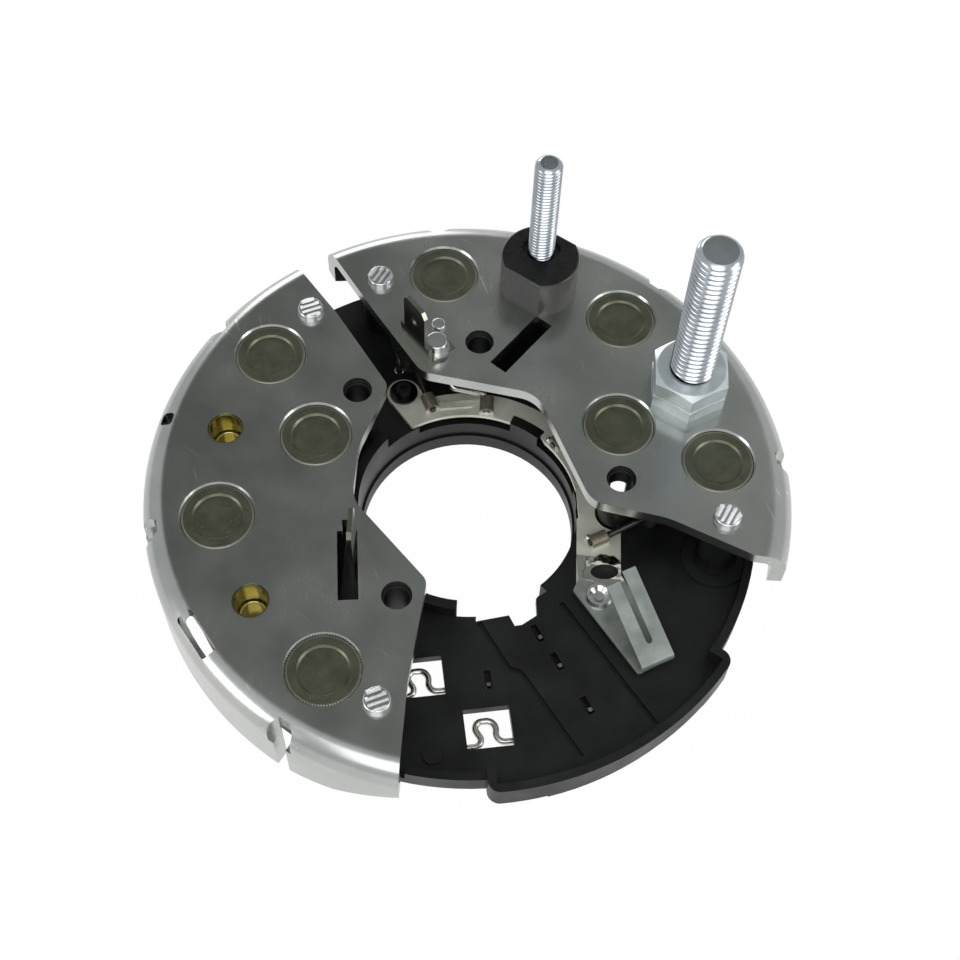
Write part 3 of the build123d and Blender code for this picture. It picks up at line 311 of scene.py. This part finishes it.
# %% Strip finish
STRIP_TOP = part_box("rail_washer")[0][2]
SOLDER_JOINT = (25.0 * MM, -12.0 * MM, STRIP_TOP)
TINT_FROM = STRIP_TOP + 0.4 * MM
TINT_TO = STRIP_TOP + 1.2 * MM
SOLDER_WITHIN = 3.6 * MM
SOLDER_ENDS = 4.0 * MM
SOLDER_WAVE = 1.0 * MM


def strip_with_solder(name, tones, rough, tinted):
    """Strip that is brown where it stands above its top, and glossy with solder round the joint."""
    material, tree = new_finish(name)
    fine = grain(tree, 0.3, stretch=(5, 1, 1), turn=30)
    puddle = grain(tree, 2.4, detail=1)
    place = add(tree, "ShaderNodeTexCoord").outputs["Object"]
    height = add(tree, "ShaderNodeSeparateXYZ", {0: place}).outputs[2]
    lifted = add(tree, RANGE, {0: height, 1: TINT_FROM, 2: TINT_TO, 4: tinted}).outputs[0]
    patchy = add(tree, RANGE, {0: fine, **SPREAD, 3: 0.85, 4: 1.0}).outputs[0]
    tint = add(tree, MATH, {0: lifted, 1: patchy}, operation="MULTIPLY").outputs[0]
    away = add(tree, "ShaderNodeVectorMath", {0: place, 1: SOLDER_JOINT},
               operation="DISTANCE").outputs["Value"]
    wavy = add(tree, RANGE, {0: puddle, 1: 0.2, 2: 0.8, 3: -SOLDER_WAVE, 4: SOLDER_WAVE}).outputs[0]
    edge = add(tree, MATH, {0: away, 1: wavy}, operation="ADD").outputs[0]
    wetted = add(tree, RANGE, {0: edge, 1: SOLDER_WITHIN, 2: SOLDER_ENDS, 3: 1.0, 4: 0.0}).outputs[0]
    strip = two_tones(tree, grain(tree, 5), tones)
    brown = add(tree, MIX, {0: tint, 6: strip, 7: linear("#54442f")}, data_type="RGBA").outputs[2]
    colour = add(tree, MIX, {0: wetted, 6: brown, 7: linear("#b4b3ab")}, data_type="RGBA").outputs[2]
    dry = add(tree, RANGE, {0: fine, **SPREAD, 3: rough[0], 4: rough[1]}).outputs[0]
    gloss = add(tree, MIX, {0: wetted, 2: dry, 3: 0.1}).outputs[0]
    shine = add(tree, MIX, {0: wetted, 2: 0.55, 3: 1.0}).outputs[0]
    flow = add(tree, MATH, {0: wetted, 1: puddle}, operation="MULTIPLY").outputs[0]
    normal = add(tree, "ShaderNodeBump", {"Height": flow, "Distance": 0.3 * MM, "Strength": 0.6}).outputs[0]
    shader = add(tree, "ShaderNodeBsdfPrincipled", {"Base Color": colour, "Metallic": shine,
                                                    "Roughness": gloss, "Normal": normal})
    add(tree, "ShaderNodeOutputMaterial", {"Surface": shader.outputs[0]})
    return material


keep("tinned", strip_with_solder("tinned_strip", ("#c3c4b6", "#d9dacd"), (0.38, 0.48), 0.9))
keep("spring", strip_with_solder("nickelled_spring_plate", ("#7d837e", "#999f9a"), (0.25, 0.26), 0.0))

# %% [markdown]
# ## Giving the finishes to the solids
# A solid's mesh stays as it came, and only its material slots are filled. A table from each finish
# to its pieces keeps that in one place. The eight diodes get their own copies of the dull nickel,
# each round its middle.

# %% Piece by piece
PIECES = {
    "moulding": ["terminal_base"],
    "aluminium": ["negative_plate", "positive_plate"],
    "brass": ["brass_insert_1", "brass_insert_2"],
    "rivet": ["negative_staked_rivets", "positive_staked_rivets", "spade_rivet", "spade_locating_pin",
              "spring_contact_rivet"],
    "zinc": ["battery_stud", "lamp_stud"],
    "blue_zinc": ["battery_stud_lower_nut", "battery_stud_upper_nut"],
    "insulator": ["stud_insulator"],
    "epoxy": ["exciter_diode_1", "exciter_diode_2", "exciter_diode_3"],
    "spade": ["spade_terminal", "phase_tap_blade", "wire_staples"],
    "tinned": ["exciter_rail"],
    "washer": ["rail_washer"],
    "spring": ["spring_contact"],
    "wire": ["lamp_stud_lead", "phase_wire_outer_near", "phase_wire_inner_near", "phase_wire_outer_far",
             "phase_wire_inner_far"],
}


def give(name, material):
    """Puts a finish in every material slot of a solid."""
    for slot in nodes[name].material_slots:
        slot.material = material


def middle(name):
    """Middle of a solid's box."""
    low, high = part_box(name)
    return (Vector(low) + Vector(high)) / 2


for finish, names in PIECES.items():
    for name in names:
        give(name, finishes[finish])
diode_names = [f"{side}_diode_{number}" for side in ("negative", "positive") for number in range(1, 5)]
for name in diode_names:
    give(name, dull_nickel(f"dull_nickel_{name}", middle(name)))
print("solids with a finish:", sum(map(len, PIECES.values())) + len(diode_names), "of", len(nodes))

# %% [markdown]
# ## Geometry Nodes, built in the script
# Threads, teeth, ridges and beads repeat. Each could be modelled once and copied in a loop, but
# a Geometry Nodes tree keeps the rule itself, with its sizes as named inputs, so the two studs share
# one tree. The inputs are set by their identifiers before the object is first evaluated.
# What comes out is kept as a plain mesh, because the frame holds plain meshes only.


# %% Tree helpers
def new_tree(name, sizes):
    """Geometry tree with named inputs; returns the tree, its group input and its group output."""
    tree = bpy.data.node_groups.new(name, "GeometryNodeTree")
    tree.interface.new_socket("Mesh", in_out="OUTPUT", socket_type="NodeSocketGeometry")
    for label, kind in sizes.items():
        tree.interface.new_socket(label, in_out="INPUT", socket_type="NodeSocket" + kind)
    return tree, add(tree, "NodeGroupInput").outputs, add(tree, "NodeGroupOutput")


def close_tree(tree, geometry, output, material):
    """Ends a tree with Realize Instances and Set Material."""
    real = add(tree, "GeometryNodeRealizeInstances", {"Geometry": geometry})
    painted = add(tree, "GeometryNodeSetMaterial", {"Geometry": real.outputs[0], "Material": material})
    tree.links.new(painted.outputs[0], output.inputs[0])


def run_tree(name, tree, values):
    """Plain mesh object that a tree makes from named values."""
    holder = bpy.data.objects.new(name + "_tree", bpy.data.meshes.new(name + "_start"))
    bpy.context.scene.collection.objects.link(holder)
    modifier = holder.modifiers.new("made", "NODES")
    modifier.node_group = tree
    for item in tree.interface.items_tree:
        if item.in_out == "INPUT":
            modifier[item.identifier] = values[item.name]
    mesh = bpy.data.meshes.new_from_object(holder.evaluated_get(bpy.context.evaluated_depsgraph_get()))
    holder.modifiers.remove(modifier)
    bpy.data.objects.remove(holder)
    piece = bpy.data.objects.new(name, mesh)
    bpy.context.scene.collection.objects.link(piece)
    return piece


# %% [markdown]
# ## Rolled threads
# A bump would leave the stud's outline straight, and here the threads stand against white. So
# the thread is real. A spiral curve could carry a profile, but its ends need trimming. Instead the
# wall of a finely divided cylinder is pushed in and out: a point's height in pitches, less its share
# of a turn, says where it lies in the groove. Root and crest are rolled a little flat, so the flank
# runs between two shares of its way. The end is rounded by a limit on the same radius.

# %% Thread tree
STUD_SIDES = 64
ROOT_ENDS = 0.1
CREST_STARTS = 0.8


def thread_tree(material):
    """Threaded rod with a rounded end, from its foot, top, radius, pitch, depth and end length."""
    tree, size, output = new_tree("rolled_thread", {"Centre": "Vector", "Foot": "Float", "Top": "Float",
                                                    "Radius": "Float", "Pitch": "Float", "Depth": "Float",
                                                    "End": "Float", "Rows": "Int"})
    length = add(tree, MATH, {0: size["Top"], 1: size["Foot"]}, operation="SUBTRACT").outputs[0]
    rod = add(tree, "GeometryNodeMeshCylinder", {"Vertices": STUD_SIDES, "Side Segments": size["Rows"],
                                                 "Radius": size["Radius"], "Depth": length})
    point = add(tree, "GeometryNodeInputPosition").outputs[0]
    split = add(tree, "ShaderNodeSeparateXYZ", {0: point}).outputs
    half = add(tree, MATH, {0: length, 1: 0.5}, operation="MULTIPLY").outputs[0]
    height = add(tree, MATH, {0: split[2], 1: half}, operation="ADD").outputs[0]
    angle = add(tree, MATH, {0: split[1], 1: split[0]}, operation="ARCTAN2").outputs[0]
    turn = add(tree, MATH, {0: angle, 1: 2 * pi}, operation="DIVIDE").outputs[0]
    pitches = add(tree, MATH, {0: height, 1: size["Pitch"]}, operation="DIVIDE").outputs[0]
    along = add(tree, MATH, {0: pitches, 1: turn}, operation="SUBTRACT").outputs[0]
    part = add(tree, MATH, {0: along}, operation="FRACT").outputs[0]
    wave = add(tree, MATH, {0: part, 1: 2.0, 2: -1.0}, operation="MULTIPLY_ADD").outputs[0]
    flank = add(tree, MATH, {0: wave}, operation="ABSOLUTE").outputs[0]
    ridge = add(tree, RANGE, {0: flank, 1: ROOT_ENDS, 2: CREST_STARTS}).outputs[0]
    core = add(tree, MATH, {0: size["Radius"], 1: size["Depth"]}, operation="SUBTRACT").outputs[0]
    wall = add(tree, MATH, {0: ridge, 1: size["Depth"], 2: core}, operation="MULTIPLY_ADD").outputs[0]
    end_start = add(tree, MATH, {0: length, 1: size["End"]}, operation="SUBTRACT").outputs[0]
    into_end = add(tree, RANGE, {0: height, 1: end_start, 2: length}).outputs[0]
    square = add(tree, MATH, {0: into_end, 1: 2.0}, operation="POWER").outputs[0]
    lost = add(tree, MATH, {0: square, 1: size["End"]}, operation="MULTIPLY").outputs[0]
    limit = add(tree, MATH, {0: size["Radius"], 1: lost}, operation="SUBTRACT").outputs[0]
    radius = add(tree, MATH, {0: wall, 1: limit}, operation="MINIMUM").outputs[0]
    share = add(tree, MATH, {0: radius, 1: size["Radius"]}, operation="DIVIDE").outputs[0]
    scale = add(tree, "ShaderNodeCombineXYZ", {0: share, 1: share, 2: 1.0}).outputs[0]
    moved = add(tree, "ShaderNodeVectorMath", {0: point, 1: scale}, operation="MULTIPLY").outputs[0]
    cut = add(tree, "GeometryNodeSetPosition", {"Geometry": rod.outputs["Mesh"], "Position": moved})
    smooth = add(tree, "GeometryNodeSetShadeSmooth", {"Geometry": cut.outputs[0],
                                                      "Selection": rod.outputs["Side"]})
    raised = add(tree, MATH, {0: size["Foot"], 1: half}, operation="ADD").outputs[0]
    lift = add(tree, "ShaderNodeCombineXYZ", {2: raised}).outputs[0]
    place = add(tree, "ShaderNodeVectorMath", {0: size["Centre"], 1: lift}, operation="ADD").outputs[0]
    placed = add(tree, "GeometryNodeTransform", {"Geometry": smooth.outputs[0], "Translation": place})
    close_tree(tree, placed.outputs[0], output, material)
    return tree


threads = thread_tree(finishes["zinc"])
print("thread tree nodes:", len(threads.nodes))

# %% [markdown]
# ## The two studs
# The battery stud is M8 and the lamp stud M5, with the standard pitches of 1.25 and 0.8 mm. Each
# new stud keeps the solid's own head and foot, cut off at a level, and has the thread from there
# up. On the battery stud that level is a little above the upper nut, and on the lamp stud it is
# sunk in the insulator. Ten rows of faces for each pitch are enough to look round.

# %% Stud helpers
ROWS_PER_PITCH = 10
SAME_POINT = 0.001 * MM


def lower_part(node, level):
    """Copy of a solid's mesh with only what lies under a level, closed again at the cut."""
    work = bmesh.new()
    work.from_mesh(nodes[node].data)
    work.transform(nodes[node].matrix_world)
    bmesh.ops.remove_doubles(work, verts=work.verts, dist=SAME_POINT)
    everything = work.verts[:] + work.edges[:] + work.faces[:]
    cut = bmesh.ops.bisect_plane(work, geom=everything, plane_co=(0, 0, level), plane_no=(0, 0, 1),
                                 clear_outer=True)["geom_cut"]
    bmesh.ops.edgeloop_fill(work, edges=[item for item in cut if isinstance(item, bmesh.types.BMEdge)])
    mesh = bpy.data.meshes.new(node + "_foot")
    work.to_mesh(mesh)
    work.free()
    return mesh


def make_stud(name, node, level, thread):
    """Threaded stud above a level, with the solid's own foot under it."""
    at = middle(node)
    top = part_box(node)[1][2]
    rows = round((top - level) / thread["Pitch"] * ROWS_PER_PITCH)
    stud = run_tree(name, threads, {"Centre": (at.x, at.y, 0), "Foot": level, "Top": top, "Rows": rows,
                                    **thread})
    foot = bpy.data.objects.new(name + "_foot", lower_part(node, level))
    foot.data.materials.clear()
    foot.data.materials.append(finishes["zinc"])
    bpy.context.scene.collection.objects.link(foot)
    with bpy.context.temp_override(active_object=stud, selected_editable_objects=[stud, foot]):
        bpy.ops.object.join()
    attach(stud, "root")
    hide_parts(node)
    print(name, "faces:", len(stud.data.polygons), "width in mm:", round(2 * thread["Radius"] / MM, 2))


print("rows of faces for each pitch:", ROWS_PER_PITCH)

# %% Battery stud and lamp stud
NUT_CLEAR = 0.3 * MM
INSULATOR_SINK = 1.5 * MM
BATTERY_THREAD = {"Radius": 4.0 * MM, "Pitch": 1.25 * MM, "Depth": 0.6 * MM, "End": 1.0 * MM}
LAMP_THREAD = {"Radius": 2.5 * MM, "Pitch": 0.8 * MM, "Depth": 0.4 * MM, "End": 0.9 * MM}
nut_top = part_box("battery_stud_upper_nut")[1][2]
insulator_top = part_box("stud_insulator")[1][2]
make_stud("battery_stud_thread", "battery_stud", nut_top + NUT_CLEAR, BATTERY_THREAD)
make_stud("lamp_stud_thread", "lamp_stud", insulator_top - INSULATOR_SINK, LAMP_THREAD)

# %% [markdown]
# ## Knurl round a diode
# A press-fit diode bites into its hole with a straight knurl, and where the press went in least
# deep the teeth show as a fine ring. On this part that is the diode nearest the lower left edge.
# The teeth could be cut into the cup, but small blocks on the points of a circle look the same, and
# each turns outward by its own position. The teeth take the brighter finish of the spades, which
# sets them apart from the cup.


# %% Knurl tree
def knurl_tree(material):
    """Ring of teeth round a centre, from a count, a radius and a tooth's size."""
    tree, size, output = new_tree("press_fit_knurl", {"Centre": "Vector", "Count": "Int", "Radius": "Float",
                                                      "Tooth": "Vector"})
    ring = add(tree, "GeometryNodeMeshCircle", {"Vertices": size["Count"], "Radius": size["Radius"]})
    tooth = add(tree, "GeometryNodeMeshCube", {"Size": size["Tooth"]})
    outward = add(tree, "GeometryNodeInputPosition").outputs[0]
    turn = add(tree, "FunctionNodeAlignRotationToVector", {"Vector": outward}, axis="X")
    teeth = add(tree, "GeometryNodeInstanceOnPoints", {"Points": ring.outputs[0],
                                                       "Instance": tooth.outputs[0],
                                                       "Rotation": turn.outputs[0]})
    placed = add(tree, "GeometryNodeTransform", {"Geometry": teeth.outputs[0], "Translation": size["Centre"]})
    close_tree(tree, placed.outputs[0], output, material)
    return tree


knurls = knurl_tree(finishes["spade"])
print("knurl tree nodes:", len(knurls.nodes))

# %% The near diode's knurl
KNURLED_DIODE = "negative_diode_3"
KNURL = {"Count": 84, "Radius": 6.5 * MM, "Tooth": Vector((0.6, 0.2, 0.5)) * MM}
KNURL_SINK = 0.05 * MM
knurl_at = middle(KNURLED_DIODE)
knurl_at.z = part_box(KNURLED_DIODE)[1][2] - KNURL_SINK
knurl = run_tree("diode_knurl", knurls, {"Centre": knurl_at, **KNURL})
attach(knurl, "root")
print("knurl faces:", len(knurl.data.polygons))

# %% [markdown]
# ## Serrated rivet heads
# The four rivets are staked by a serrated punch, which leaves a few broad ridges across each head.
# A bump would lose them in the shine. A line of points across the head carries one three-sided
# bar each, and a bar's length follows the chord of the round head at its own offset. Half the chord
# is the square root of the radius squared less the offset squared, and the bar is a little less
# than two of these, so that its ends stay on the head.

# %% Serration tree
HALF_CHORDS = 1.74
THICKNESS_IN_STEPS = 0.58


def serration_tree(material):
    """Parallel ridges that fill a round head, on each point of an object."""
    tree, size, output = new_tree("punch_serrations", {"Rivets": "Object", "Ridges": "Int", "Radius": "Float",
                                                       "Flatness": "Float", "Turn": "Float"})
    span = add(tree, MATH, {0: size["Radius"], 1: 2.0}, operation="MULTIPLY").outputs[0]
    step = add(tree, MATH, {0: span, 1: size["Ridges"]}, operation="DIVIDE").outputs[0]
    half_step = add(tree, MATH, {0: step, 1: 0.5}, operation="MULTIPLY").outputs[0]
    first = add(tree, MATH, {0: half_step, 1: size["Radius"]}, operation="SUBTRACT").outputs[0]
    start = add(tree, "ShaderNodeCombineXYZ", {1: first}).outputs[0]
    offset = add(tree, "ShaderNodeCombineXYZ", {1: step}).outputs[0]
    row = add(tree, "GeometryNodeMeshLine", {"Count": size["Ridges"], "Start Location": start,
                                             "Offset": offset}, mode="OFFSET")
    thick = add(tree, MATH, {0: step, 1: THICKNESS_IN_STEPS}, operation="MULTIPLY").outputs[0]
    bar = add(tree, "GeometryNodeMeshCylinder", {"Vertices": 3, "Radius": thick, "Depth": 1.0})
    laid = add(tree, "GeometryNodeTransform", {"Geometry": bar.outputs[0], "Rotation": (0, radians(-90), 0)})
    point = add(tree, "GeometryNodeInputPosition").outputs[0]
    off = add(tree, "ShaderNodeSeparateXYZ", {0: point}).outputs[1]
    off_square = add(tree, MATH, {0: off, 1: off}, operation="MULTIPLY").outputs[0]
    square = add(tree, MATH, {0: size["Radius"], 1: size["Radius"]}, operation="MULTIPLY").outputs[0]
    left = add(tree, MATH, {0: square, 1: off_square}, operation="SUBTRACT").outputs[0]
    half_chord = add(tree, MATH, {0: left}, operation="SQRT").outputs[0]
    chord = add(tree, MATH, {0: half_chord, 1: HALF_CHORDS}, operation="MULTIPLY").outputs[0]
    scale = add(tree, "ShaderNodeCombineXYZ", {0: chord, 1: 1.0, 2: size["Flatness"]}).outputs[0]
    bars = add(tree, "GeometryNodeInstanceOnPoints", {"Points": row.outputs[0], "Instance": laid.outputs[0],
                                                      "Scale": scale})
    rivets = add(tree, "GeometryNodeObjectInfo", {"Object": size["Rivets"]}).outputs["Geometry"]
    turn = add(tree, "ShaderNodeCombineXYZ", {2: size["Turn"]}).outputs[0]
    heads = add(tree, "GeometryNodeInstanceOnPoints", {"Points": rivets, "Instance": bars.outputs[0],
                                                       "Rotation": turn})
    close_tree(tree, heads.outputs[0], output, material)
    return tree


serrations = serration_tree(finishes["rivet"])
print("serration tree nodes:", len(serrations.nodes))

# %% Rivet heads
STAKE_PITCH_R = 45.8 * MM
STAKE_ANGLES = {"negative": (133.0, 253.5), "positive": (-8.3, 114.2)}
STAKE_TURNS = {"negative": 24.0, "positive": 62.0}
RIDGES = {"Ridges": 4, "Radius": 2.15 * MM, "Flatness": 0.42}


def spots_at(name, points):
    """Object of loose points, for a tree to place things on."""
    mesh = bpy.data.meshes.new(name)
    mesh.from_pydata([tuple(p) for p in points], [], [])
    spots = bpy.data.objects.new(name, mesh)
    bpy.context.scene.collection.objects.link(spots)
    return spots


for side, angles in STAKE_ANGLES.items():
    head_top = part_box(f"{side}_staked_rivets")[1][2]
    flat_spots = [(STAKE_PITCH_R * cos(radians(a)), STAKE_PITCH_R * sin(radians(a))) for a in angles]
    spots = spots_at("rivet_spots", [(x, y, head_top) for x, y in flat_spots])
    heads = run_tree(f"{side}_rivet_serrations", serrations,
                     {"Rivets": spots, "Turn": radians(STAKE_TURNS[side]), **RIDGES})
    bpy.data.objects.remove(spots)
    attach(heads, "root")
    print(heads.name, "faces:", len(heads.data.polygons))

# %% [markdown]
# ## Beads of solder and weld
# Where a lead is hooked into the rail, its cut end melts into a small bright bead. Two are seen.
# Spheres on points, pressed a little flat, give them, and the same tree could give any number.


# %% Bead tree
def bead_tree(material):
    """Pressed sphere on each point of an object, from a radius and a flatness."""
    tree, size, output = new_tree("solder_beads", {"Spots": "Object", "Radius": "Float", "Flatness": "Float"})
    ball = add(tree, "GeometryNodeMeshUVSphere", {"Segments": 20, "Rings": 12, "Radius": size["Radius"]})
    smooth = add(tree, "GeometryNodeSetShadeSmooth", {"Geometry": ball.outputs[0]})
    scale = add(tree, "ShaderNodeCombineXYZ", {0: 1.0, 1: 1.0, 2: size["Flatness"]}).outputs[0]
    points = add(tree, "GeometryNodeObjectInfo", {"Object": size["Spots"]}).outputs["Geometry"]
    beads = add(tree, "GeometryNodeInstanceOnPoints", {"Points": points, "Instance": smooth.outputs[0],
                                                       "Scale": scale})
    close_tree(tree, beads.outputs[0], output, material)
    return tree


bead_rule = bead_tree(finishes["solder"])
print("bead tree nodes:", len(bead_rule.nodes))

# %% Beads on the rail
BEADS = [(14.6, 15.3), (22.0, -5.2)]
BEAD = {"Radius": 0.65 * MM, "Flatness": 0.85}
BEAD_RISE = 0.45 * MM
bead_spots = spots_at("bead_spots", [(x * MM, y * MM, STRIP_TOP + BEAD_RISE) for x, y in BEADS])
beads = run_tree("rail_beads", bead_rule, {"Spots": bead_spots, **BEAD})
bpy.data.objects.remove(bead_spots)
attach(beads, "root")
print("beads:", len(BEADS))

# %% [markdown]
# ## Floor
# The real part was shown on plain white. More light would bleach the metal, so the floor itself
# reads as white to the camera and to mirrors, and stays plain paper to every other ray. A small
# share of paper is kept for the camera too, so the object still has a trace of shadow.

# %% White floor
FLOOR_HALF = 1.6
FLOOR_LEVEL = -0.3 * MM
GLOW_SHARE = 0.985


def white_paper():
    """Paper that the camera and mirrors see as nearly pure white."""
    material, tree = new_finish("white_paper")
    rays = add(tree, "ShaderNodeLightPath").outputs
    mirrored = add(tree, MATH, {0: rays["Is Glossy Ray"], 1: rays["Is Transmission Ray"]},
                   operation="MAXIMUM").outputs[0]
    seen = add(tree, MATH, {0: rays["Is Camera Ray"], 1: mirrored}, operation="MAXIMUM").outputs[0]
    share = add(tree, MATH, {0: seen, 1: GLOW_SHARE}, operation="MULTIPLY").outputs[0]
    paper = add(tree, "ShaderNodeBsdfDiffuse", {"Color": linear("#e9e9e9")}).outputs[0]
    glow = add(tree, "ShaderNodeEmission", {"Color": linear("#ffffff"), "Strength": 1.0}).outputs[0]
    mix = add(tree, "ShaderNodeMixShader", {0: share, 1: paper, 2: glow}).outputs[0]
    add(tree, "ShaderNodeOutputMaterial", {"Surface": mix})
    return material


def flat_piece(name, corners, material):
    """Flat four-cornered stage piece."""
    mesh = bpy.data.meshes.new(name)
    mesh.from_pydata([tuple(c) for c in corners], [], [(0, 1, 2, 3)])
    mesh.materials.append(material)
    piece = bpy.data.objects.new(name, mesh)
    bpy.context.scene.collection.objects.link(piece)
    return piece


floor = flat_piece("white_floor", [(x * FLOOR_HALF, y * FLOOR_HALF, FLOOR_LEVEL)
                                   for x, y in ((-1, -1), (1, -1), (1, 1), (-1, 1))], white_paper())
print("floor is", 2 * FLOOR_HALF, "m wide")

# %% [markdown]
# ## Grey card
# Satin metal is as dark or bright as what it mirrors. In a white room the flat heat sinks would
# vanish, so product photographers stand a grey card where the flats look: here beyond the part and
# high up. The bends look past it at the bright room, which draws their edges. The card's grey is
# painted paler towards the right, painted light as on a card near a window, so the right heat sink is the
# lighter one.

# %% The card
CARD_DISTANCE = 0.55
CARD_RISE = radians(61.0)
CARD_HALF = (0.30, 0.26)
CARD_DARK = "#646663"
CARD_PALE = "#a4a6a3"
DARK_UP_TO = -0.12
PALE_FROM = 0.22
OBJECT_AIM = Vector((0.0, 0.0, 0.02))
card_paint, card_tree = new_finish("grey_card")
card_place = add(card_tree, "ShaderNodeTexCoord").outputs["Object"]
card_right = add(card_tree, "ShaderNodeSeparateXYZ", {0: card_place}).outputs[0]
# Painted light on the card: its grey turns paler towards the right, as near a window.
card_share = add(card_tree, RANGE, {0: card_right, 1: DARK_UP_TO, 2: PALE_FROM}).outputs[0]
card_grey = add(card_tree, MIX, {0: card_share, 6: linear(CARD_DARK), 7: linear(CARD_PALE)},
                data_type="RGBA").outputs[2]
card_shader = add(card_tree, "ShaderNodeBsdfPrincipled", {"Base Color": card_grey, "Roughness": 0.9})
add(card_tree, "ShaderNodeOutputMaterial", {"Surface": card_shader.outputs[0]})
outward = Vector((0, cos(CARD_RISE), sin(CARD_RISE)))
across = Vector((1, 0, 0)) * CARD_HALF[0]
upward = Vector((0, -sin(CARD_RISE), cos(CARD_RISE))) * CARD_HALF[1]
card_at = OBJECT_AIM + outward * CARD_DISTANCE
card = flat_piece("grey_card", [card_at - across - upward, card_at + across - upward,
                                card_at + across + upward, card_at - across + upward], card_paint)
print("card stands", round(card_at.z, 2), "m up")

# %% [markdown]
# ## Room and lamps
# The world is a pale room that lights the part from all round and looks pure white to the camera.
# One big soft lamp over the camera's shoulder lights what faces the viewer, and three weaker ones
# at the sides and back draw the rims. Small lamps would leave hard dots on the studs.

# %% World
ROOM_LIGHT = 0.75
world = bpy.data.worlds.new("pale_room")
bpy.context.scene.world = world
world.use_nodes = True
room = world.node_tree
room.nodes.clear()
camera_ray = add(room, "ShaderNodeLightPath").outputs["Is Camera Ray"]
light = add(room, "ShaderNodeBackground", {"Color": linear("#f4f6f8"), "Strength": ROOM_LIGHT}).outputs[0]
white = add(room, "ShaderNodeBackground", {"Color": linear("#ffffff"), "Strength": 1.0}).outputs[0]
both = add(room, "ShaderNodeMixShader", {0: camera_ray, 1: light, 2: white}).outputs[0]
add(room, "ShaderNodeOutputWorld", {"Surface": both})
print("world nodes:", len(room.nodes))

# %% Lamps
LAMPS = {
    "front_softbox": {"place": (-0.05, -0.75, 0.95), "watts": 5.5, "size": 0.9},
    "left_lamp": {"place": (-0.95, -0.45, 0.4), "watts": 3.5, "size": 0.5},
    "right_lamp": {"place": (0.9, -0.25, 0.45), "watts": 4.0, "size": 0.5},
    "back_lamp": {"place": (-0.3, 0.95, 0.3), "watts": 2.0, "size": 0.5},
}


def soft_lamp(name, place, watts, size):
    """Square soft lamp that faces the object."""
    data = bpy.data.lights.new(name, "AREA")
    data.energy = watts
    data.size = size
    lamp = bpy.data.objects.new(name, data)
    aim = (OBJECT_AIM - Vector(place)).to_track_quat("-Z", "Y")
    lamp.matrix_world = Matrix.Translation(place) @ aim.to_matrix().to_4x4()
    bpy.context.scene.collection.objects.link(lamp)


for name, lamp in LAMPS.items():
    soft_lamp(name, **lamp)
print("lamps:", len(LAMPS))

# %% [markdown]
# ## Camera
# The view matches the picture that the part was made from. The camera could be set by eye, but the
# rims of the eight diodes are circles of known size at known places, and one camera alone makes
# them fall where they do. Its place and its two directions are kept as they were worked out.

# %% Camera
CAMERA_AT = Vector((1.93, -138.913, 256.918)) * MM
CAMERA_AHEAD = Vector((0.0, 0.50573, -0.86269))
CAMERA_UP = Vector((-0.04836, 0.86168, 0.50514))
LENS_IN_MM = 57.99
SENSOR_IN_MM = 36.0
NEAREST_SEEN = 0.01
camera_data = bpy.data.cameras.new("bench_camera")
camera_data.lens = LENS_IN_MM
camera_data.sensor_width = SENSOR_IN_MM
camera_data.clip_start = NEAREST_SEEN
camera = bpy.data.objects.new("bench_camera", camera_data)
bpy.context.scene.collection.objects.link(camera)
right = CAMERA_AHEAD.cross(CAMERA_UP).normalized()
up = right.cross(CAMERA_AHEAD).normalized()
turn = Matrix((right, up, -CAMERA_AHEAD)).transposed()
camera.matrix_world = Matrix.Translation(CAMERA_AT) @ turn.to_4x4()
bpy.context.scene.camera = camera
bpy.context.scene.view_settings.view_transform = "Standard"
print("camera is", round((CAMERA_AT - OBJECT_AIM).length / MM), "mm away")
